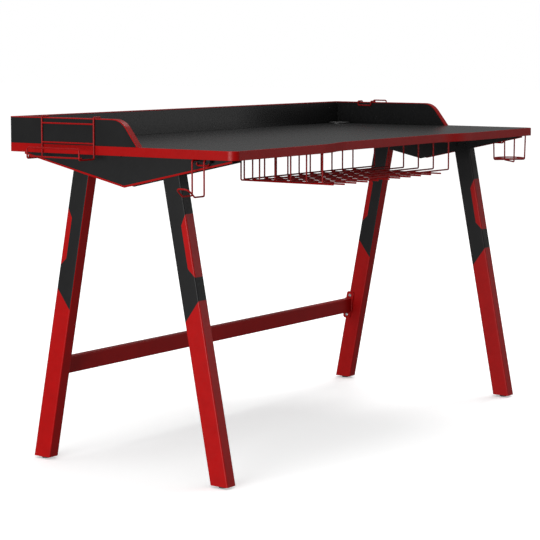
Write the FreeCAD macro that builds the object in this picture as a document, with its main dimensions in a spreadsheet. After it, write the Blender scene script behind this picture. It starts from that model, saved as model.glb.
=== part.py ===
"""A gaming desk: a dark desktop on two A-shaped side frames, with low panels, a wire basket and wire holders.

Millimetres, +Z up, front towards -Y. The floor is at height zero. The sub-parts are shaped about the middle
of the desktop. Their placements move that middle so that the origin is under the centre of the whole desk.
"""
import FreeCAD, Part
import math
import os
import re
from types import SimpleNamespace

import Sketcher

SIZES = [
    ("top_width", 1400, "desktop, left to right over the edge band"),
    ("top_depth", 655, "desktop, front to rear over the edge band"),
    ("top_height", 755, "floor to the top of the desktop"),
    ("top_thickness", 21, "desktop board"),
    ("edge_band", 2, "edge band of the desktop and edging of the panels"),
    ("corner_round", 20, "front corners of the desktop"),
    ("recess_depth", 25, "shallow recess in the front edge"),
    ("recess_run", 80, "length of the S-curve at each end of the recess"),
    ("recess_centre", 284, "middle of the desktop to the middle of each S-curve"),
    ("recess_arc_share", 0.92, "share of the S-curve that its two arcs take up"),
    ("panel_thickness", 18, "rear and side panels"),
    ("panel_height", 62, "rear and side panels above the desktop"),
    ("panel_front", 57, "middle of the desktop to the front foot of a side panel"),
    ("panel_slope_run", 48, "length of a side panel's front slope, seen from above"),
    ("panel_round", 50, "round between a side panel's top and its slope"),
    ("frame_inset", 24.6, "desktop's side edge to the outer face of a leg"),
    ("leg_width", 31.5, "leg tube, left to right"),
    ("leg_depth", 48, "leg tube, square to its length"),
    ("leg_wall", 1.5, "leg tube wall"),
    ("leg_top_y", 120, "middle of the desk to a leg's centre line, at desktop height"),
    ("leg_foot_y", 265, "middle of the desk to a leg's centre line, at the floor"),
    ("rail_length", 450, "top rail of a side frame"),
    ("rail_height", 20, "top rail of a side frame"),
    ("rail_wall", 1.5, "top rail wall"),
    ("cheek_sheet", 2, "sheet of the V-shaped cheeks"),
    ("cheek_setback", 23.5, "desktop's front or rear edge to the end of a cheek"),
    ("cheek_drop", 70.5, "underside of the desktop to the point of an outer cheek's V"),
    ("cheek_end", 3.5, "depth of an outer cheek's upright ends"),
    ("cheek_hang", 2.8, "inner cheek and red trim below the outer cheek's V edge"),
    ("trim_lap", 1.6, "red trim above the outer cheek's V edge"),
    ("trim_sheet", 1.2, "thickness of the red trim"),
    ("foot_radius", 10, "levelling foot"),
    ("foot_height", 5, "levelling foot under the leg, screwed right in"),
    ("foot_bevel", 1, "bevel round the levelling foot"),
    ("stud_radius", 4, "stud of the levelling foot"),
    ("stud_length", 22, "stud of the levelling foot, above its disc"),
    ("stud_clearance", 0.05, "radial room of the stud in the plug"),
    ("plug_height", 25, "plug in the lower end of a leg"),
    ("plug_clearance", 0.1, "room between a plug and the leg's walls"),
    ("stretcher_height", 40, "stretcher tube"),
    ("stretcher_depth", 22, "stretcher tube, front to rear"),
    ("stretcher_wall", 1.5, "stretcher tube wall"),
    ("stretcher_z", 220, "floor to the stretcher's centre line"),
    ("stretcher_edge", 5.7, "rear edge of the back leg to the stretcher's centre line"),
    ("flange_sheet", 4, "flange at each end of the stretcher"),
    ("flange_width", 24, "flange, across the leg"),
    ("flange_length", 80, "flange, along the leg"),
    ("flange_pitch", 58, "bolt to bolt along the flange"),
    ("bolt_radius", 3, "frame bolts"),
    ("bolt_grip", 8, "frame bolt past the leg's wall"),
    ("bolt_head_radius", 5, "frame bolt head"),
    ("bolt_head_height", 3, "frame bolt head"),
    ("leg_bolt_pitch", 24, "bolt to bolt where a cheek is bolted to a leg"),
    ("leg_bolt_drop", 10, "underside of the rail to the leg bolts"),
    ("head_bevel_share", 0.4, "share of a head's height and of its radius that is bevelled"),
    ("screw_radius", 2, "wood screws"),
    ("screw_bite", 13, "wood screw in the desktop"),
    ("tip_room", 2, "pilot hole past a screw's tip"),
    ("screw_head_radius", 4, "wood screw head"),
    ("screw_head_height", 2.4, "wood screw head"),
    ("panel_screw_bite", 30, "screw in a panel"),
    ("rail_screw_pitch", 130, "screw to screw along a rail"),
    ("hole_clearance", 0.1, "radial room round bolts and screws"),
    ("overrun", 5, "how far a cutting shape passes the face that it opens"),
    ("basket_wire", 2, "radius of the basket's wire"),
    ("basket_half", 297, "middle of the desk to the upright ends of the cross wires"),
    ("basket_long_pitch", 50.4, "long wire to long wire, from the left end"),
    ("basket_setback", 7.5, "desktop's front edge to the tips of the long wires"),
    ("basket_length", 268, "tips of the long wires to the basket's back wall"),
    ("basket_first_wire", 8.3, "basket's back wall to the first cross wire"),
    ("basket_cross_pitch", 45.5, "cross wire to cross wire"),
    ("basket_drop", 78.1, "underside of the desktop to the long wires' floor runs"),
    ("basket_bend", 3.2, "bend of the basket's wires"),
    ("weld_gap", 0.1, "between wires that are welded together"),
    ("clip_sheet", 2, "basket clip under its bar"),
    ("clip_width", 14, "basket clip, along its bar"),
    ("clip_pad", 12, "basket clip's pad beside its bar"),
    ("clip_lip", 3, "basket clip past its bar"),
    ("wire_radius", 2, "wire of the holders"),
    ("wire_bend", 4, "bends of the holders' wire"),
    ("hang_clearance", 0.3, "between a hung wire and the panel that carries it"),
    ("butt_gap", 0.2, "where the two ends of a bent wire meet"),
    ("rack_middle", 148, "middle of the desk back to the middle of the rack"),
    ("rack_length", 158, "rack, upright to upright"),
    ("rack_reach", 53.5, "desktop's edge out to the rack's lip"),
    ("rack_drop", 31, "top of the desktop to the rack's tray"),
    ("rack_lip", 25, "rack's lip above its tray"),
    ("rack_tail", 14, "rack's tails inside the panel"),
    ("rack_bar_high", 49, "upper cross bar above the desktop"),
    ("rack_bar_low", 4.5, "lower cross bar above the desktop"),
    ("rack_bar_setback", 7, "tray bar inside the lip"),
    ("hook_middle", 214, "middle of the desk back to the middle of the panel hook"),
    ("hook_length", 44, "panel hook, upright to upright"),
    ("hook_reach", 65, "desktop's edge out to the panel hook's lip"),
    ("hook_floor", 12, "panel hook's cradle above the desktop"),
    ("hook_lip", 65, "top of the panel hook's lip above the desktop"),
    ("hook_tail", 12, "panel hook's tail inside the panel"),
    ("holder_y", 227, "middle of the desk forward to the headset hook and the cup holder"),
    ("holder_width", 33, "wire to wire of the headset hook and of the cup holder's arm"),
    ("holder_inset", 1.5, "desktop's edge in to the headset hook's uprights"),
    ("holder_gap", 0.9, "trim of a side frame to the tail of the wire beside it"),
    ("headset_tail", 14, "underside of the desktop to the headset hook's tail"),
    ("headset_drop", 80, "underside of the desktop to the headset hook's arm"),
    ("headset_arm", 34, "arm of the headset hook"),
    ("headset_lip_reach", 24, "lip of the headset hook, outward"),
    ("headset_lip_rise", 18.5, "lip of the headset hook, upward"),
    ("headset_lip_round", 11, "round of the headset hook's lip"),
    ("cup_centre", 49.5, "desktop's edge out to the middle of the cup holder"),
    ("cup_top_radius", 42.6, "top ring of the cup holder"),
    ("cup_floor_radius", 40.6, "floor ring of the cup holder"),
    ("cup_depth", 67, "top ring to floor ring"),
    ("cup_tail", 23, "underside of the desktop to the cup holder's tail"),
    ("clamp_sheet", 2.5, "clamp strip under the holders' wires"),
    ("clamp_width", 8, "clamp strip, left to right"),
    ("clamp_pad", 10, "pad at each end of a clamp strip"),
    ("clamp_room", 0.3, "clamp pad to the wire beside it"),
    ("grommet_side", 72, "desktop's right edge to the grommet's centre"),
    ("grommet_rear", 57.5, "desktop's rear edge to the grommet's centre"),
    ("grommet_rim", 3.7, "flange of the grommet round its cap"),
    ("grommet_height", 4, "flange of the grommet above the desktop"),
    ("liner_radius", 25, "grommet liner in the desktop"),
    ("liner_length", 19, "grommet liner below the desktop's top"),
    ("liner_wall", 5, "wall of the grommet's liner"),
    ("liner_clearance", 0.2, "radial room of the liner in its hole"),
    ("cap_seat", 6, "turning cap of the grommet, past the bore"),
    ("cap_thickness", 2.5, "turning cap of the grommet"),
    ("cap_clearance", 0.3, "radial room of the cap in the flange"),
    ("slot_width", 14, "cable slot in the cap"),
    ("slot_centre", 12, "middle of the cap to the round end of the cable slot"),
]

LONG_WIRES = 11
CROSS_WIRES = 6
RAIL_SCREW_SHARES = (-1.5, -0.5, 0.5, 1.5)
REAR_SCREW_SHARES = (-0.75, -0.25, 0.25, 0.75)
SIDE_SCREW_SHARES = (0.15, 0.5, 0.85)
BACK_CLIP_SHARES = (-2.5, 2.5)
END_CLIP_SHARES = (1.5, 3.5)
CUP_WIRE_ANGLES = (135, 45)
SIDES = (("left", -1), ("right", 1))
ENDS = (("front", -1), ("back", 1))

Vector = FreeCAD.Vector
Placement = FreeCAD.Placement
Rotation = FreeCAD.Rotation
UP = Vector(0, 0, 1)
ALONG_X = Vector(1, 0, 0)
ALONG_Y = Vector(0, 1, 0)
HAIR = 1e-6

doc = FreeCAD.newDocument("gaming_desk")
sheet = doc.addObject("Spreadsheet::Sheet", "sizes")
for row, (alias, value, note) in enumerate(SIZES, 1):
    sheet.set(f"A{row}", note)
    sheet.set(f"B{row}", str(value))
    sheet.setAlias(f"B{row}", alias)
doc.recompute()
ALIASES = {alias for alias, _, _ in SIZES}
size = SimpleNamespace(**{alias: float(sheet.get(alias)) for alias in ALIASES})
sub_parts = []


def cells(formula):
    """Writes a formula of size names as one that reads the spreadsheet."""
    return re.sub(r"[a-z]\w*", lambda m: f"sizes.{m[0]}" if m[0] in ALIASES else m[0], formula)


def bind(thing, **formulas):
    """Binds properties of an object to formulas of the spreadsheet's sizes."""
    for name, formula in formulas.items():
        thing.setExpression(name, cells(formula))
    return thing


def sub_part(thing, label):
    """Names a finished object as a sub-part of the desk."""
    thing.Label = label
    sub_parts.append(thing)
    return thing


def box(name, length, width, height, place):
    block = bind(doc.addObject("Part::Box", name), Length=length, Width=width, Height=height)
    block.Placement = place if isinstance(place, Placement) else Placement(place, Rotation())
    return block


def rod(name, radius, height, base, axis=UP):
    bar = bind(doc.addObject("Part::Cylinder", name), Radius=radius, Height=height)
    bar.Placement = Placement(base, Rotation(UP, axis))
    return bar


def cut(name, base, tool):
    result = doc.addObject("Part::Cut", name)
    result.Base = base
    result.Tool = tool
    return result


def gathered(name, things):
    """Holds several separate solids as one object."""
    result = doc.addObject("Part::Compound", name)
    result.Links = things
    return result


def copies(name, template, places):
    """Separate copies of one finished piece, each at its own place."""
    doc.recompute()
    shapes = []
    for place in places:
        shape = template.Shape.copy()
        shape.Placement = place
        shapes.append(shape)
    group = doc.addObject("Part::Feature", name)
    group.Shape = Part.makeCompound(shapes)
    return group


def outline(body, name, role, points):
    """A closed sketch of straight lines on one of the body's own planes, every corner bound to formulas."""
    sketch = body.newObject("Sketcher::SketchObject", name)
    plane = next(item for item in body.Origin.OriginFeatures if item.Role == role)
    sketch.AttachmentSupport = [(plane, "")]
    sketch.MapMode = "FlatFace"
    count = len(points)
    turn = math.tau / count
    start = [Vector(math.cos(i * turn), math.sin(i * turn), 0) for i in range(count)]
    for i in range(count):
        sketch.addGeometry(Part.LineSegment(start[i], start[(i + 1) % count]), False)
    for i in range(count):
        sketch.addConstraint(Sketcher.Constraint("Coincident", i, 2, (i + 1) % count, 1))
    for i, corner in enumerate(points):
        for kind, axis, formula in (("DistanceX", -2, corner[0]), ("DistanceY", -1, corner[1])):
            if formula == "0":
                sketch.addConstraint(Sketcher.Constraint("PointOnObject", i, 1, axis))
                continue
            index = sketch.addConstraint(Sketcher.Constraint(kind, -1, 1, i, 1, 1))
            sketch.setExpression(f"Constraints[{index}]", cells(formula))
    return sketch


def plate(name, role, points, thickness, base):
    """A flat piece: a sketched outline padded square to its plane."""
    body = doc.addObject("PartDesign::Body", name)
    pad = body.newObject("PartDesign::Pad", f"{name}_pad")
    pad.Profile = outline(body, f"{name}_outline", role, points)
    bind(pad, Length=thickness)
    body.Tip = pad
    body.Placement = Placement(base, Rotation())
    doc.recompute()
    return body


def round_corners(body, name, axis, at_corner, radius):
    """Rounds the edges of a plate that run along its thickness and stand at the chosen corners."""
    base = body.Tip
    picked = []
    for number, edge in enumerate(base.Shape.Edges, 1):
        along = edge.tangentAt(edge.FirstParameter).cross(axis).Length < HAIR
        if along and at_corner(edge.CenterOfMass):
            picked.append(f"Edge{number}")
    fillet = body.newObject("PartDesign::Fillet", name)
    fillet.Base = (base, picked)
    bind(fillet, Radius=radius)
    body.Tip = fillet
    doc.recompute()


def turned(name, points):
    """A round piece: a sketched half section turned about the vertical."""
    body = doc.addObject("PartDesign::Body", name)
    turn = body.newObject("PartDesign::Revolution", f"{name}_turn")
    sketch = outline(body, f"{name}_section", "XZ_Plane", points)
    turn.Profile = sketch
    turn.ReferenceAxis = (sketch, ["V_Axis"])
    turn.Angle = 360
    body.Tip = turn
    doc.recompute()
    return body


def fastener(name, shank, length, head, head_height):
    """A bolt or screw that points up, its head's seat at height zero."""
    rim = f"{head} * (1 - head_bevel_share)"
    shoulder = f"-{head_height} * (1 - head_bevel_share)"
    crown = [("0", f"-{head_height}"), (rim, f"-{head_height}"), (head, shoulder), (head, "0")]
    return turned(name, crown + [(shank, "0"), (shank, length), ("0", length)])


def bent_wire(points, bends, radius):
    """A round wire along straight runs, with an arc of its own radius at each inner point."""
    edges = []
    start = points[0]
    for before, corner, after, bend in zip(points, points[1:], points[2:], bends):
        into = (corner - before).normalize()
        out = (after - corner).normalize()
        half_turn = into.getAngle(out) / 2
        first = corner - into * bend * math.tan(half_turn)
        last = corner + out * bend * math.tan(half_turn)
        middle = corner + (out - into).normalize() * (bend / math.cos(half_turn) - bend)
        edges.append(Part.LineSegment(start, first).toShape())
        edges.append(Part.Arc(first, middle, last).toShape())
        start = last
    edges.append(Part.LineSegment(start, points[-1]).toShape())
    section = Part.Wire(Part.makeCircle(radius, points[0], points[1] - points[0]))
    return Part.Wire(edges).makePipeShell([section], True, False)


def wires(name, shapes):
    """Bent wires as one object."""
    group = doc.addObject("Part::Feature", name)
    group.Shape = Part.makeCompound(shapes)
    return group


# Places that several pieces share

half_width = size.top_width / 2
half_depth = size.top_depth / 2
underside = size.top_height - size.top_thickness
panel_top = size.top_height + size.panel_height
leg_outer = half_width - size.frame_inset
leg_inner = leg_outer - size.leg_width
leg_slope = (size.leg_foot_y - size.leg_top_y) / size.top_height
leg_angle = math.degrees(math.atan(leg_slope))
leg_across = size.leg_depth / math.cos(math.radians(leg_angle))
rail_floor = underside - size.rail_height
stretcher_end = leg_inner - size.flange_sheet


def leg_y(height):
    """Distance of a leg's centre line from the middle of the desk at a height above the floor."""
    return size.leg_foot_y - leg_slope * height


stretcher_y = leg_y(size.stretcher_z) + leg_across / 2 - size.stretcher_edge
flange_tilt = Rotation(ALONG_X, leg_angle)
leg_bolt_z = rail_floor - size.leg_bolt_drop
wire_step = 2 * size.basket_wire + size.weld_gap
long_half = size.basket_half + wire_step
bar_z = underside - size.basket_wire
clip_floor = underside - 2 * size.basket_wire
basket_front = size.basket_setback - half_depth
basket_rear = basket_front + size.basket_length
first_cross_y = basket_rear - size.basket_first_wire
back_bar_y = basket_rear + wire_step
run_z = underside - size.wire_radius
upright_x = half_width - size.holder_inset
tail_x = leg_outer + size.cheek_sheet + size.trim_sheet + size.holder_gap + size.wire_radius
clamp_x = (tail_x + upright_x) / 2
clamp_screw_y = size.holder_width / 2 + size.wire_radius + size.clamp_room + size.clamp_pad / 2
cup_x = half_width + size.cup_centre
grommet_x = half_width - size.grommet_side
grommet_y = half_depth - size.grommet_rear
side_panel_x = half_width - size.panel_thickness / 2
rear_panel_y = half_depth - size.panel_thickness / 2
hang_x = half_width + size.wire_radius + size.hang_clearance
hang_tail_x = half_width - size.panel_thickness - size.wire_radius - size.hang_clearance
hang_z = panel_top + size.wire_radius + size.hang_clearance
hang_bend = size.wire_radius + size.hang_clearance

rail_screw_places = [
    Vector(sign * (leg_outer - size.leg_width / 2), share * size.rail_screw_pitch, rail_floor)
    for _, sign in SIDES
    for share in RAIL_SCREW_SHARES
]
rear_screw_places = [Vector(share * half_width, rear_panel_y, underside) for share in REAR_SCREW_SHARES]
side_screw_places = {
    sign: [
        Vector(sign * side_panel_x, half_depth - share * (half_depth + size.panel_front), underside)
        for share in SIDE_SCREW_SHARES
    ]
    for _, sign in SIDES
}
clip_reach = size.basket_wire + size.clip_pad / 2
clip_places = [
    Placement(Vector(share * size.basket_long_pitch, back_bar_y, clip_floor), Rotation())
    for share in BACK_CLIP_SHARES
]
clip_places += [
    Placement(
        Vector(sign * long_half, first_cross_y - share * size.basket_cross_pitch, clip_floor),
        Rotation(UP, -sign * 90),
    )
    for _, sign in SIDES
    for share in END_CLIP_SHARES
]
clip_screw_places = [place.multVec(Vector(0, clip_reach, -size.clip_sheet)) for place in clip_places]
clamp_floor = underside - 2 * size.wire_radius - size.clamp_sheet
clamp_screw_places = [
    Vector(sign * clamp_x, -size.holder_y + end * clamp_screw_y, clamp_floor)
    for _, sign in SIDES
    for _, end in ENDS
]


# Desktop board with its edge band

S_CURVE = "sqrt(recess_run ^ 2 + recess_depth ^ 2)"
S_RADIUS = f"recess_arc_share * {S_CURVE} / 2 * recess_depth / ({S_CURVE} - recess_run)"


def top_outline(inset):
    """Corners of the desktop, moved in by an inset."""
    side = f"top_width / 2 - {inset}"
    rear = f"top_depth / 2 - {inset}"
    slip = f"{inset} * ({S_CURVE} - recess_run) / recess_depth"
    outer = f"recess_centre + recess_run / 2 + {slip}"
    inner = f"recess_centre - recess_run / 2 + {slip}"
    left = [(f"-({side})", rear), (f"-({side})", f"-({rear})"), (f"-({outer})", f"-({rear})")]
    recess = f"recess_depth - ({rear})"
    right = [(outer, f"-({rear})"), (side, f"-({rear})"), (side, rear)]
    return left + [(f"-({inner})", recess), (inner, recess)] + right


def top_plate(name, inset_formula, inset):
    body = plate(name, "XY_Plane", top_outline(inset_formula), "top_thickness", Vector(0, 0, underside))
    front = inset - half_depth
    side = half_width - inset

    def on_line(value, line):
        return abs(value - line) < HAIR

    def at_front_corner(point):
        return on_line(point.y, front) and on_line(abs(point.x), side)

    def at_recess_end(point):
        return on_line(point.y, front) and abs(abs(point.x) - size.recess_centre) < size.recess_run

    def at_recess_floor(point):
        return on_line(point.y, front + size.recess_depth) and abs(point.x) < size.recess_centre

    round_corners(body, f"{name}_corners", UP, at_front_corner, f"corner_round - {inset_formula}")
    round_corners(body, f"{name}_ends", UP, at_recess_end, f"{S_RADIUS} - {inset_formula}")
    round_corners(body, f"{name}_floor", UP, at_recess_floor, f"{S_RADIUS} + {inset_formula}")
    return body


whole_top = top_plate("whole_top", "0", 0)
top_core = top_plate("top_core", "edge_band", size.edge_band)
sub_part(cut("edge_band", whole_top, top_core), "desktop_edge_band")

SCREW_HOLE = "screw_radius + hole_clearance"
BITE_HOLE = "screw_bite + tip_room + overrun"
top_holes = [
    rod(
        "grommet_hole",
        "liner_radius + liner_clearance",
        "top_thickness + 2 * overrun",
        Vector(grommet_x, grommet_y, underside - size.overrun),
    )
]
for place in rail_screw_places + clip_screw_places + clamp_screw_places:
    seat = Vector(place.x, place.y, underside - size.overrun)
    top_holes.append(rod("pilot_hole", SCREW_HOLE, BITE_HOLE, seat))
for place in rear_screw_places + side_screw_places[-1] + side_screw_places[1]:
    seat = place - UP * size.overrun
    top_holes.append(rod("panel_screw_hole", SCREW_HOLE, "top_thickness + 2 * overrun", seat))
sub_part(cut("board", top_core, gathered("top_holes", top_holes)), "desktop_board")


# Rear and side panels with their edging

PANEL_HOLE = "panel_screw_bite + tip_room + overrun"
panel_base = size.top_height - size.overrun


def panel_holes(name, places):
    """Pilot holes that come up into a panel from its foot."""
    holes = [rod("panel_hole", SCREW_HOLE, PANEL_HOLE, Vector(p.x, p.y, panel_base)) for p in places]
    return gathered(name, holes)


def side_outline(inset):
    """Corners of a side panel, with its top and its slope moved in by an inset."""
    slope = "sqrt(panel_slope_run ^ 2 + panel_height ^ 2)"
    foot = f"{inset} * {slope} / panel_height - panel_front"
    top = f"panel_height - {inset}"
    shoulder = f"{foot} + ({top}) * panel_slope_run / panel_height"
    return [("top_depth / 2", "0"), ("top_depth / 2", top), (shoulder, top), (foot, "0")]


def side_plate(name, inset, sign):
    low = sign * side_panel_x - size.panel_thickness / 2
    base = Vector(low, 0, size.top_height)
    body = plate(name, "YZ_Plane", side_outline(inset), "panel_thickness", base)
    half_height = size.panel_height / 2

    def at_shoulder(point):
        return point.z > half_height and point.y < half_depth / 2

    round_corners(body, f"{name}_shoulder", ALONG_X, at_shoulder, f"panel_round - {inset}")
    return body


for side, sign in SIDES:
    whole = side_plate(f"{side}_panel_whole", "0", sign)
    core = side_plate(f"{side}_panel_core", "edge_band", sign)
    sub_part(cut(f"{side}_edging", whole, core), f"{side}_panel_edging")
    holes = panel_holes(f"{side}_panel_holes", side_screw_places[sign])
    sub_part(cut(f"{side}_panel", core, holes), f"{side}_side_panel")

REAR_LENGTH = "top_width - 2 * panel_thickness"
rear_corner = Vector(size.panel_thickness - half_width, half_depth - size.panel_thickness, size.top_height)
rear_core = box("rear_core", REAR_LENGTH, "panel_thickness", "panel_height - edge_band", rear_corner)
rear_holes = panel_holes("rear_panel_holes", rear_screw_places)
sub_part(cut("rear_panel", rear_core, rear_holes), "rear_panel")
edging_corner = rear_corner + UP * (size.panel_height - size.edge_band)
rear_edging = box("rear_edging", REAR_LENGTH, "panel_thickness", "edge_band", edging_corner)
sub_part(rear_edging, "rear_panel_edging")


# Side frames: legs, top rail and V-shaped cheeks

BOLT_HOLE = "bolt_radius + hole_clearance"
WALL_HOLE = "cheek_sheet + leg_wall + 2 * overrun"
FLANGE_HOLE = "flange_sheet + leg_wall + 2 * overrun"


def tilted_bar(name, width, depth, shrink, sign, end):
    """A long bar along a leg's centre line, from below the floor to above the desktop."""
    foot = Vector(sign * (leg_outer - size.leg_width / 2), end * leg_y(-size.leg_depth), -size.leg_depth)
    tilt = Placement(foot, Rotation(ALONG_X, end * leg_angle))
    corner = Placement(Vector(shrink - size.leg_width / 2, shrink - size.leg_depth / 2, 0), Rotation())
    return box(name, width, depth, "top_height + 3 * leg_depth", tilt.multiply(corner))


def slice_of(name, bottom, height):
    """A flat slice of space as wide and deep as the desk."""
    return box(name, "top_width", "2 * top_depth", height, Vector(-half_width, -size.top_depth, bottom))


def leg_bolt_points(sign, end):
    """Where the bolts pass the inner face of a leg."""
    middle = end * leg_y(leg_bolt_z)
    shift = size.leg_bolt_pitch / 2
    return [Vector(sign * leg_inner, middle + step * shift, leg_bolt_z) for _, step in ENDS]


def flange_bolt_points(sign):
    """Where the bolts of a stretcher flange pass the inner face of a back leg."""
    middle = Vector(sign * leg_inner, stretcher_y, size.stretcher_z)
    step = flange_tilt.multVec(UP) * (size.flange_pitch / 2)
    return [middle - step, middle + step]


def bolt_holes(name, points, length, lead, sign):
    """Holes along X that start short of a face and pass through it, outward."""
    start = ALONG_X * (-sign * (lead + size.overrun))
    return [rod(name, BOLT_HOLE, length, point + start, ALONG_X * sign) for point in points]


leg_slice = slice_of("leg_slice", size.foot_height, "top_height - top_thickness - rail_height - foot_height")
plug_slice = slice_of("plug_slice", size.foot_height, "plug_height")
CHEEK_HALF = "(top_depth / 2 - cheek_setback)"


def cheek_edge(rise):
    """V edge of a side frame's sheet, front to rear, a rise above the outer cheek's own edge."""
    ends = f"{rise} - cheek_end"
    return [(f"-{CHEEK_HALF}", ends), ("0", f"{rise} - cheek_drop"), (CHEEK_HALF, ends)]


CHEEK_TOP = [(CHEEK_HALF, "0"), (f"-{CHEEK_HALF}", "0")]
outer_v = cheek_edge("0") + CHEEK_TOP
hung_v = cheek_edge("-cheek_hang") + CHEEK_TOP
trim_v = cheek_edge("-cheek_hang") + cheek_edge("trim_lap")[::-1]

for side, sign in SIDES:
    for end_name, end in ENDS:
        name = f"{side}_{end_name}_leg"
        bar = tilted_bar(f"{name}_bar", "leg_width", "leg_depth", 0, sign, end)
        inside = ("leg_width - 2 * leg_wall", "leg_depth - 2 * leg_wall", size.leg_wall)
        tube = cut(f"{name}_tube", bar, tilted_bar(f"{name}_inside", *inside, sign, end))
        length = doc.addObject("Part::Common", f"{name}_length")
        length.Base = tube
        length.Tool = leg_slice
        holes = bolt_holes(f"{name}_hole", leg_bolt_points(sign, end), WALL_HOLE, size.cheek_sheet, sign)
        if end > 0:
            points = flange_bolt_points(sign)
            holes += bolt_holes(f"{name}_hole", points, FLANGE_HOLE, size.flange_sheet, sign)
        sub_part(cut(name, length, gathered(f"{name}_holes", holes)), name)

        room = "(leg_wall + plug_clearance)"
        fit = (f"leg_width - 2 * {room}", f"leg_depth - 2 * {room}", size.leg_wall + size.plug_clearance)
        block = doc.addObject("Part::Common", f"{name}_plug_block")
        block.Base = tilted_bar(f"{name}_plug_bar", *fit, sign, end)
        block.Tool = plug_slice
        foot_x = sign * (leg_outer - size.leg_width / 2)
        foot_point = Vector(foot_x, end * leg_y(size.foot_height), 0)
        bore_sizes = ("stud_radius + stud_clearance", "plug_height + 2 * foot_height")
        bore = rod(f"{name}_stud_hole", *bore_sizes, foot_point)
        sub_part(cut(f"{name}_plug", block, bore), f"{name}_plug")

        disc = [("0", "0"), ("foot_radius - foot_bevel", "0"), ("foot_radius", "foot_bevel")]
        disc += [("foot_radius", "foot_height"), ("stud_radius", "foot_height")]
        stud = [("stud_radius", "foot_height + stud_length"), ("0", "foot_height + stud_length")]
        foot = turned(f"{side}_{end_name}_foot", disc + stud)
        foot.Placement = Placement(foot_point, Rotation())
        sub_part(foot, f"{side}_{end_name}_foot")

    frame_low = min(sign * leg_outer, sign * leg_inner)
    rail_corner = Vector(frame_low, -size.rail_length / 2, rail_floor)
    rail_bar = box(f"{side}_rail_bar", "leg_width", "rail_length", "rail_height", rail_corner)
    core_corner = rail_corner + Vector(size.rail_wall, -size.overrun, size.rail_wall)
    core_sizes = ("leg_width - 2 * rail_wall", "rail_length + 2 * overrun", "rail_height - 2 * rail_wall")
    rail_tube = cut(f"{side}_rail_tube", rail_bar, box(f"{side}_rail_core", *core_sizes, core_corner))
    seats = [place - UP * size.overrun for place in rail_screw_places if place.x * sign > 0]
    rail_holes = [rod("rail_hole", SCREW_HOLE, "rail_height + 2 * overrun", seat) for seat in seats]
    sub_part(cut(f"{side}_rail", rail_tube, gathered(f"{side}_rail_holes", rail_holes)), f"{side}_top_rail")

    outer_low = min(sign * leg_outer, sign * (leg_outer + size.cheek_sheet))
    outer_cheek = plate(
        f"{side}_outer_cheek", "YZ_Plane", outer_v, "cheek_sheet", Vector(outer_low, 0, underside)
    )
    sub_part(outer_cheek, f"{side}_outer_cheek")
    trim_low = min(sign * leg_outer, sign * (leg_outer + size.cheek_sheet + size.trim_sheet))
    trim_bar = plate(
        f"{side}_trim_bar", "YZ_Plane", trim_v, "cheek_sheet + trim_sheet", Vector(trim_low, 0, underside)
    )
    trim_rebate = plate(
        f"{side}_trim_rebate", "YZ_Plane", outer_v, "cheek_sheet", Vector(outer_low, 0, underside)
    )
    sub_part(cut(f"{side}_cheek_trim", trim_bar, trim_rebate), f"{side}_cheek_trim")
    inner_low = min(sign * leg_inner, sign * (leg_inner - size.cheek_sheet))
    inner_blank = plate(
        f"{side}_inner_blank", "YZ_Plane", hung_v, "cheek_sheet", Vector(inner_low, 0, underside)
    )
    cheek_holes = []
    for _, end in ENDS:
        points = leg_bolt_points(sign, end)
        cheek_holes += bolt_holes(f"{side}_cheek_hole", points, WALL_HOLE, size.cheek_sheet, sign)
    inner_cheek = cut(f"{side}_inner_cheek", inner_blank, gathered(f"{side}_cheek_holes", cheek_holes))
    sub_part(inner_cheek, f"{side}_inner_cheek")


# Stretcher between the back legs

stretcher_low = Vector(
    -stretcher_end, stretcher_y - size.stretcher_depth / 2, size.stretcher_z - size.stretcher_height / 2
)
STRETCHER_LENGTH = "top_width - 2 * (frame_inset + leg_width + flange_sheet)"
stretcher_bar = box("stretcher_bar", STRETCHER_LENGTH, "stretcher_depth", "stretcher_height", stretcher_low)
stretcher_core = box(
    "stretcher_core",
    f"{STRETCHER_LENGTH} + 2 * overrun",
    "stretcher_depth - 2 * stretcher_wall",
    "stretcher_height - 2 * stretcher_wall",
    stretcher_low + Vector(-size.overrun, size.stretcher_wall, size.stretcher_wall),
)
sub_part(cut("stretcher", stretcher_bar, stretcher_core), "stretcher_tube")

for side, sign in SIDES:
    low = min(sign * leg_inner, sign * stretcher_end)
    middle = Placement(Vector(low, stretcher_y, size.stretcher_z), flange_tilt)
    corner = Placement(Vector(0, -size.flange_width / 2, -size.flange_length / 2), Rotation())
    place = middle.multiply(corner)
    blank = box(f"{side}_flange_blank", "flange_sheet", "flange_width", "flange_length", place)
    points = flange_bolt_points(sign)
    holes = bolt_holes(f"{side}_flange_hole", points, FLANGE_HOLE, size.flange_sheet, sign)
    flange = cut(f"{side}_flange", blank, gathered(f"{side}_flange_holes", holes))
    sub_part(flange, f"{side}_stretcher_flange")


# Bolts and screws

BOLT_HEAD = ("bolt_head_radius", "bolt_head_height")
SCREW_HEAD = ("screw_head_radius", "screw_head_height")
CLIP_GRIP = "2 * basket_wire + clip_sheet"
CLAMP_GRIP = "2 * wire_radius + clamp_sheet"
flange_bolt = fastener("flange_bolt", "bolt_radius", "flange_sheet + leg_wall + bolt_grip", *BOLT_HEAD)
leg_bolt = fastener("leg_bolt", "bolt_radius", "cheek_sheet + leg_wall + bolt_grip", *BOLT_HEAD)
rail_screw = fastener("rail_screw", "screw_radius", "rail_height + screw_bite", *SCREW_HEAD)
panel_screw = fastener("panel_screw", "screw_radius", "top_thickness + panel_screw_bite", *SCREW_HEAD)
clip_screw = fastener("clip_screw", "screw_radius", f"{CLIP_GRIP} + screw_bite", *SCREW_HEAD)
clamp_screw = fastener("clamp_screw", "screw_radius", f"{CLAMP_GRIP} + screw_bite", *SCREW_HEAD)


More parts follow.
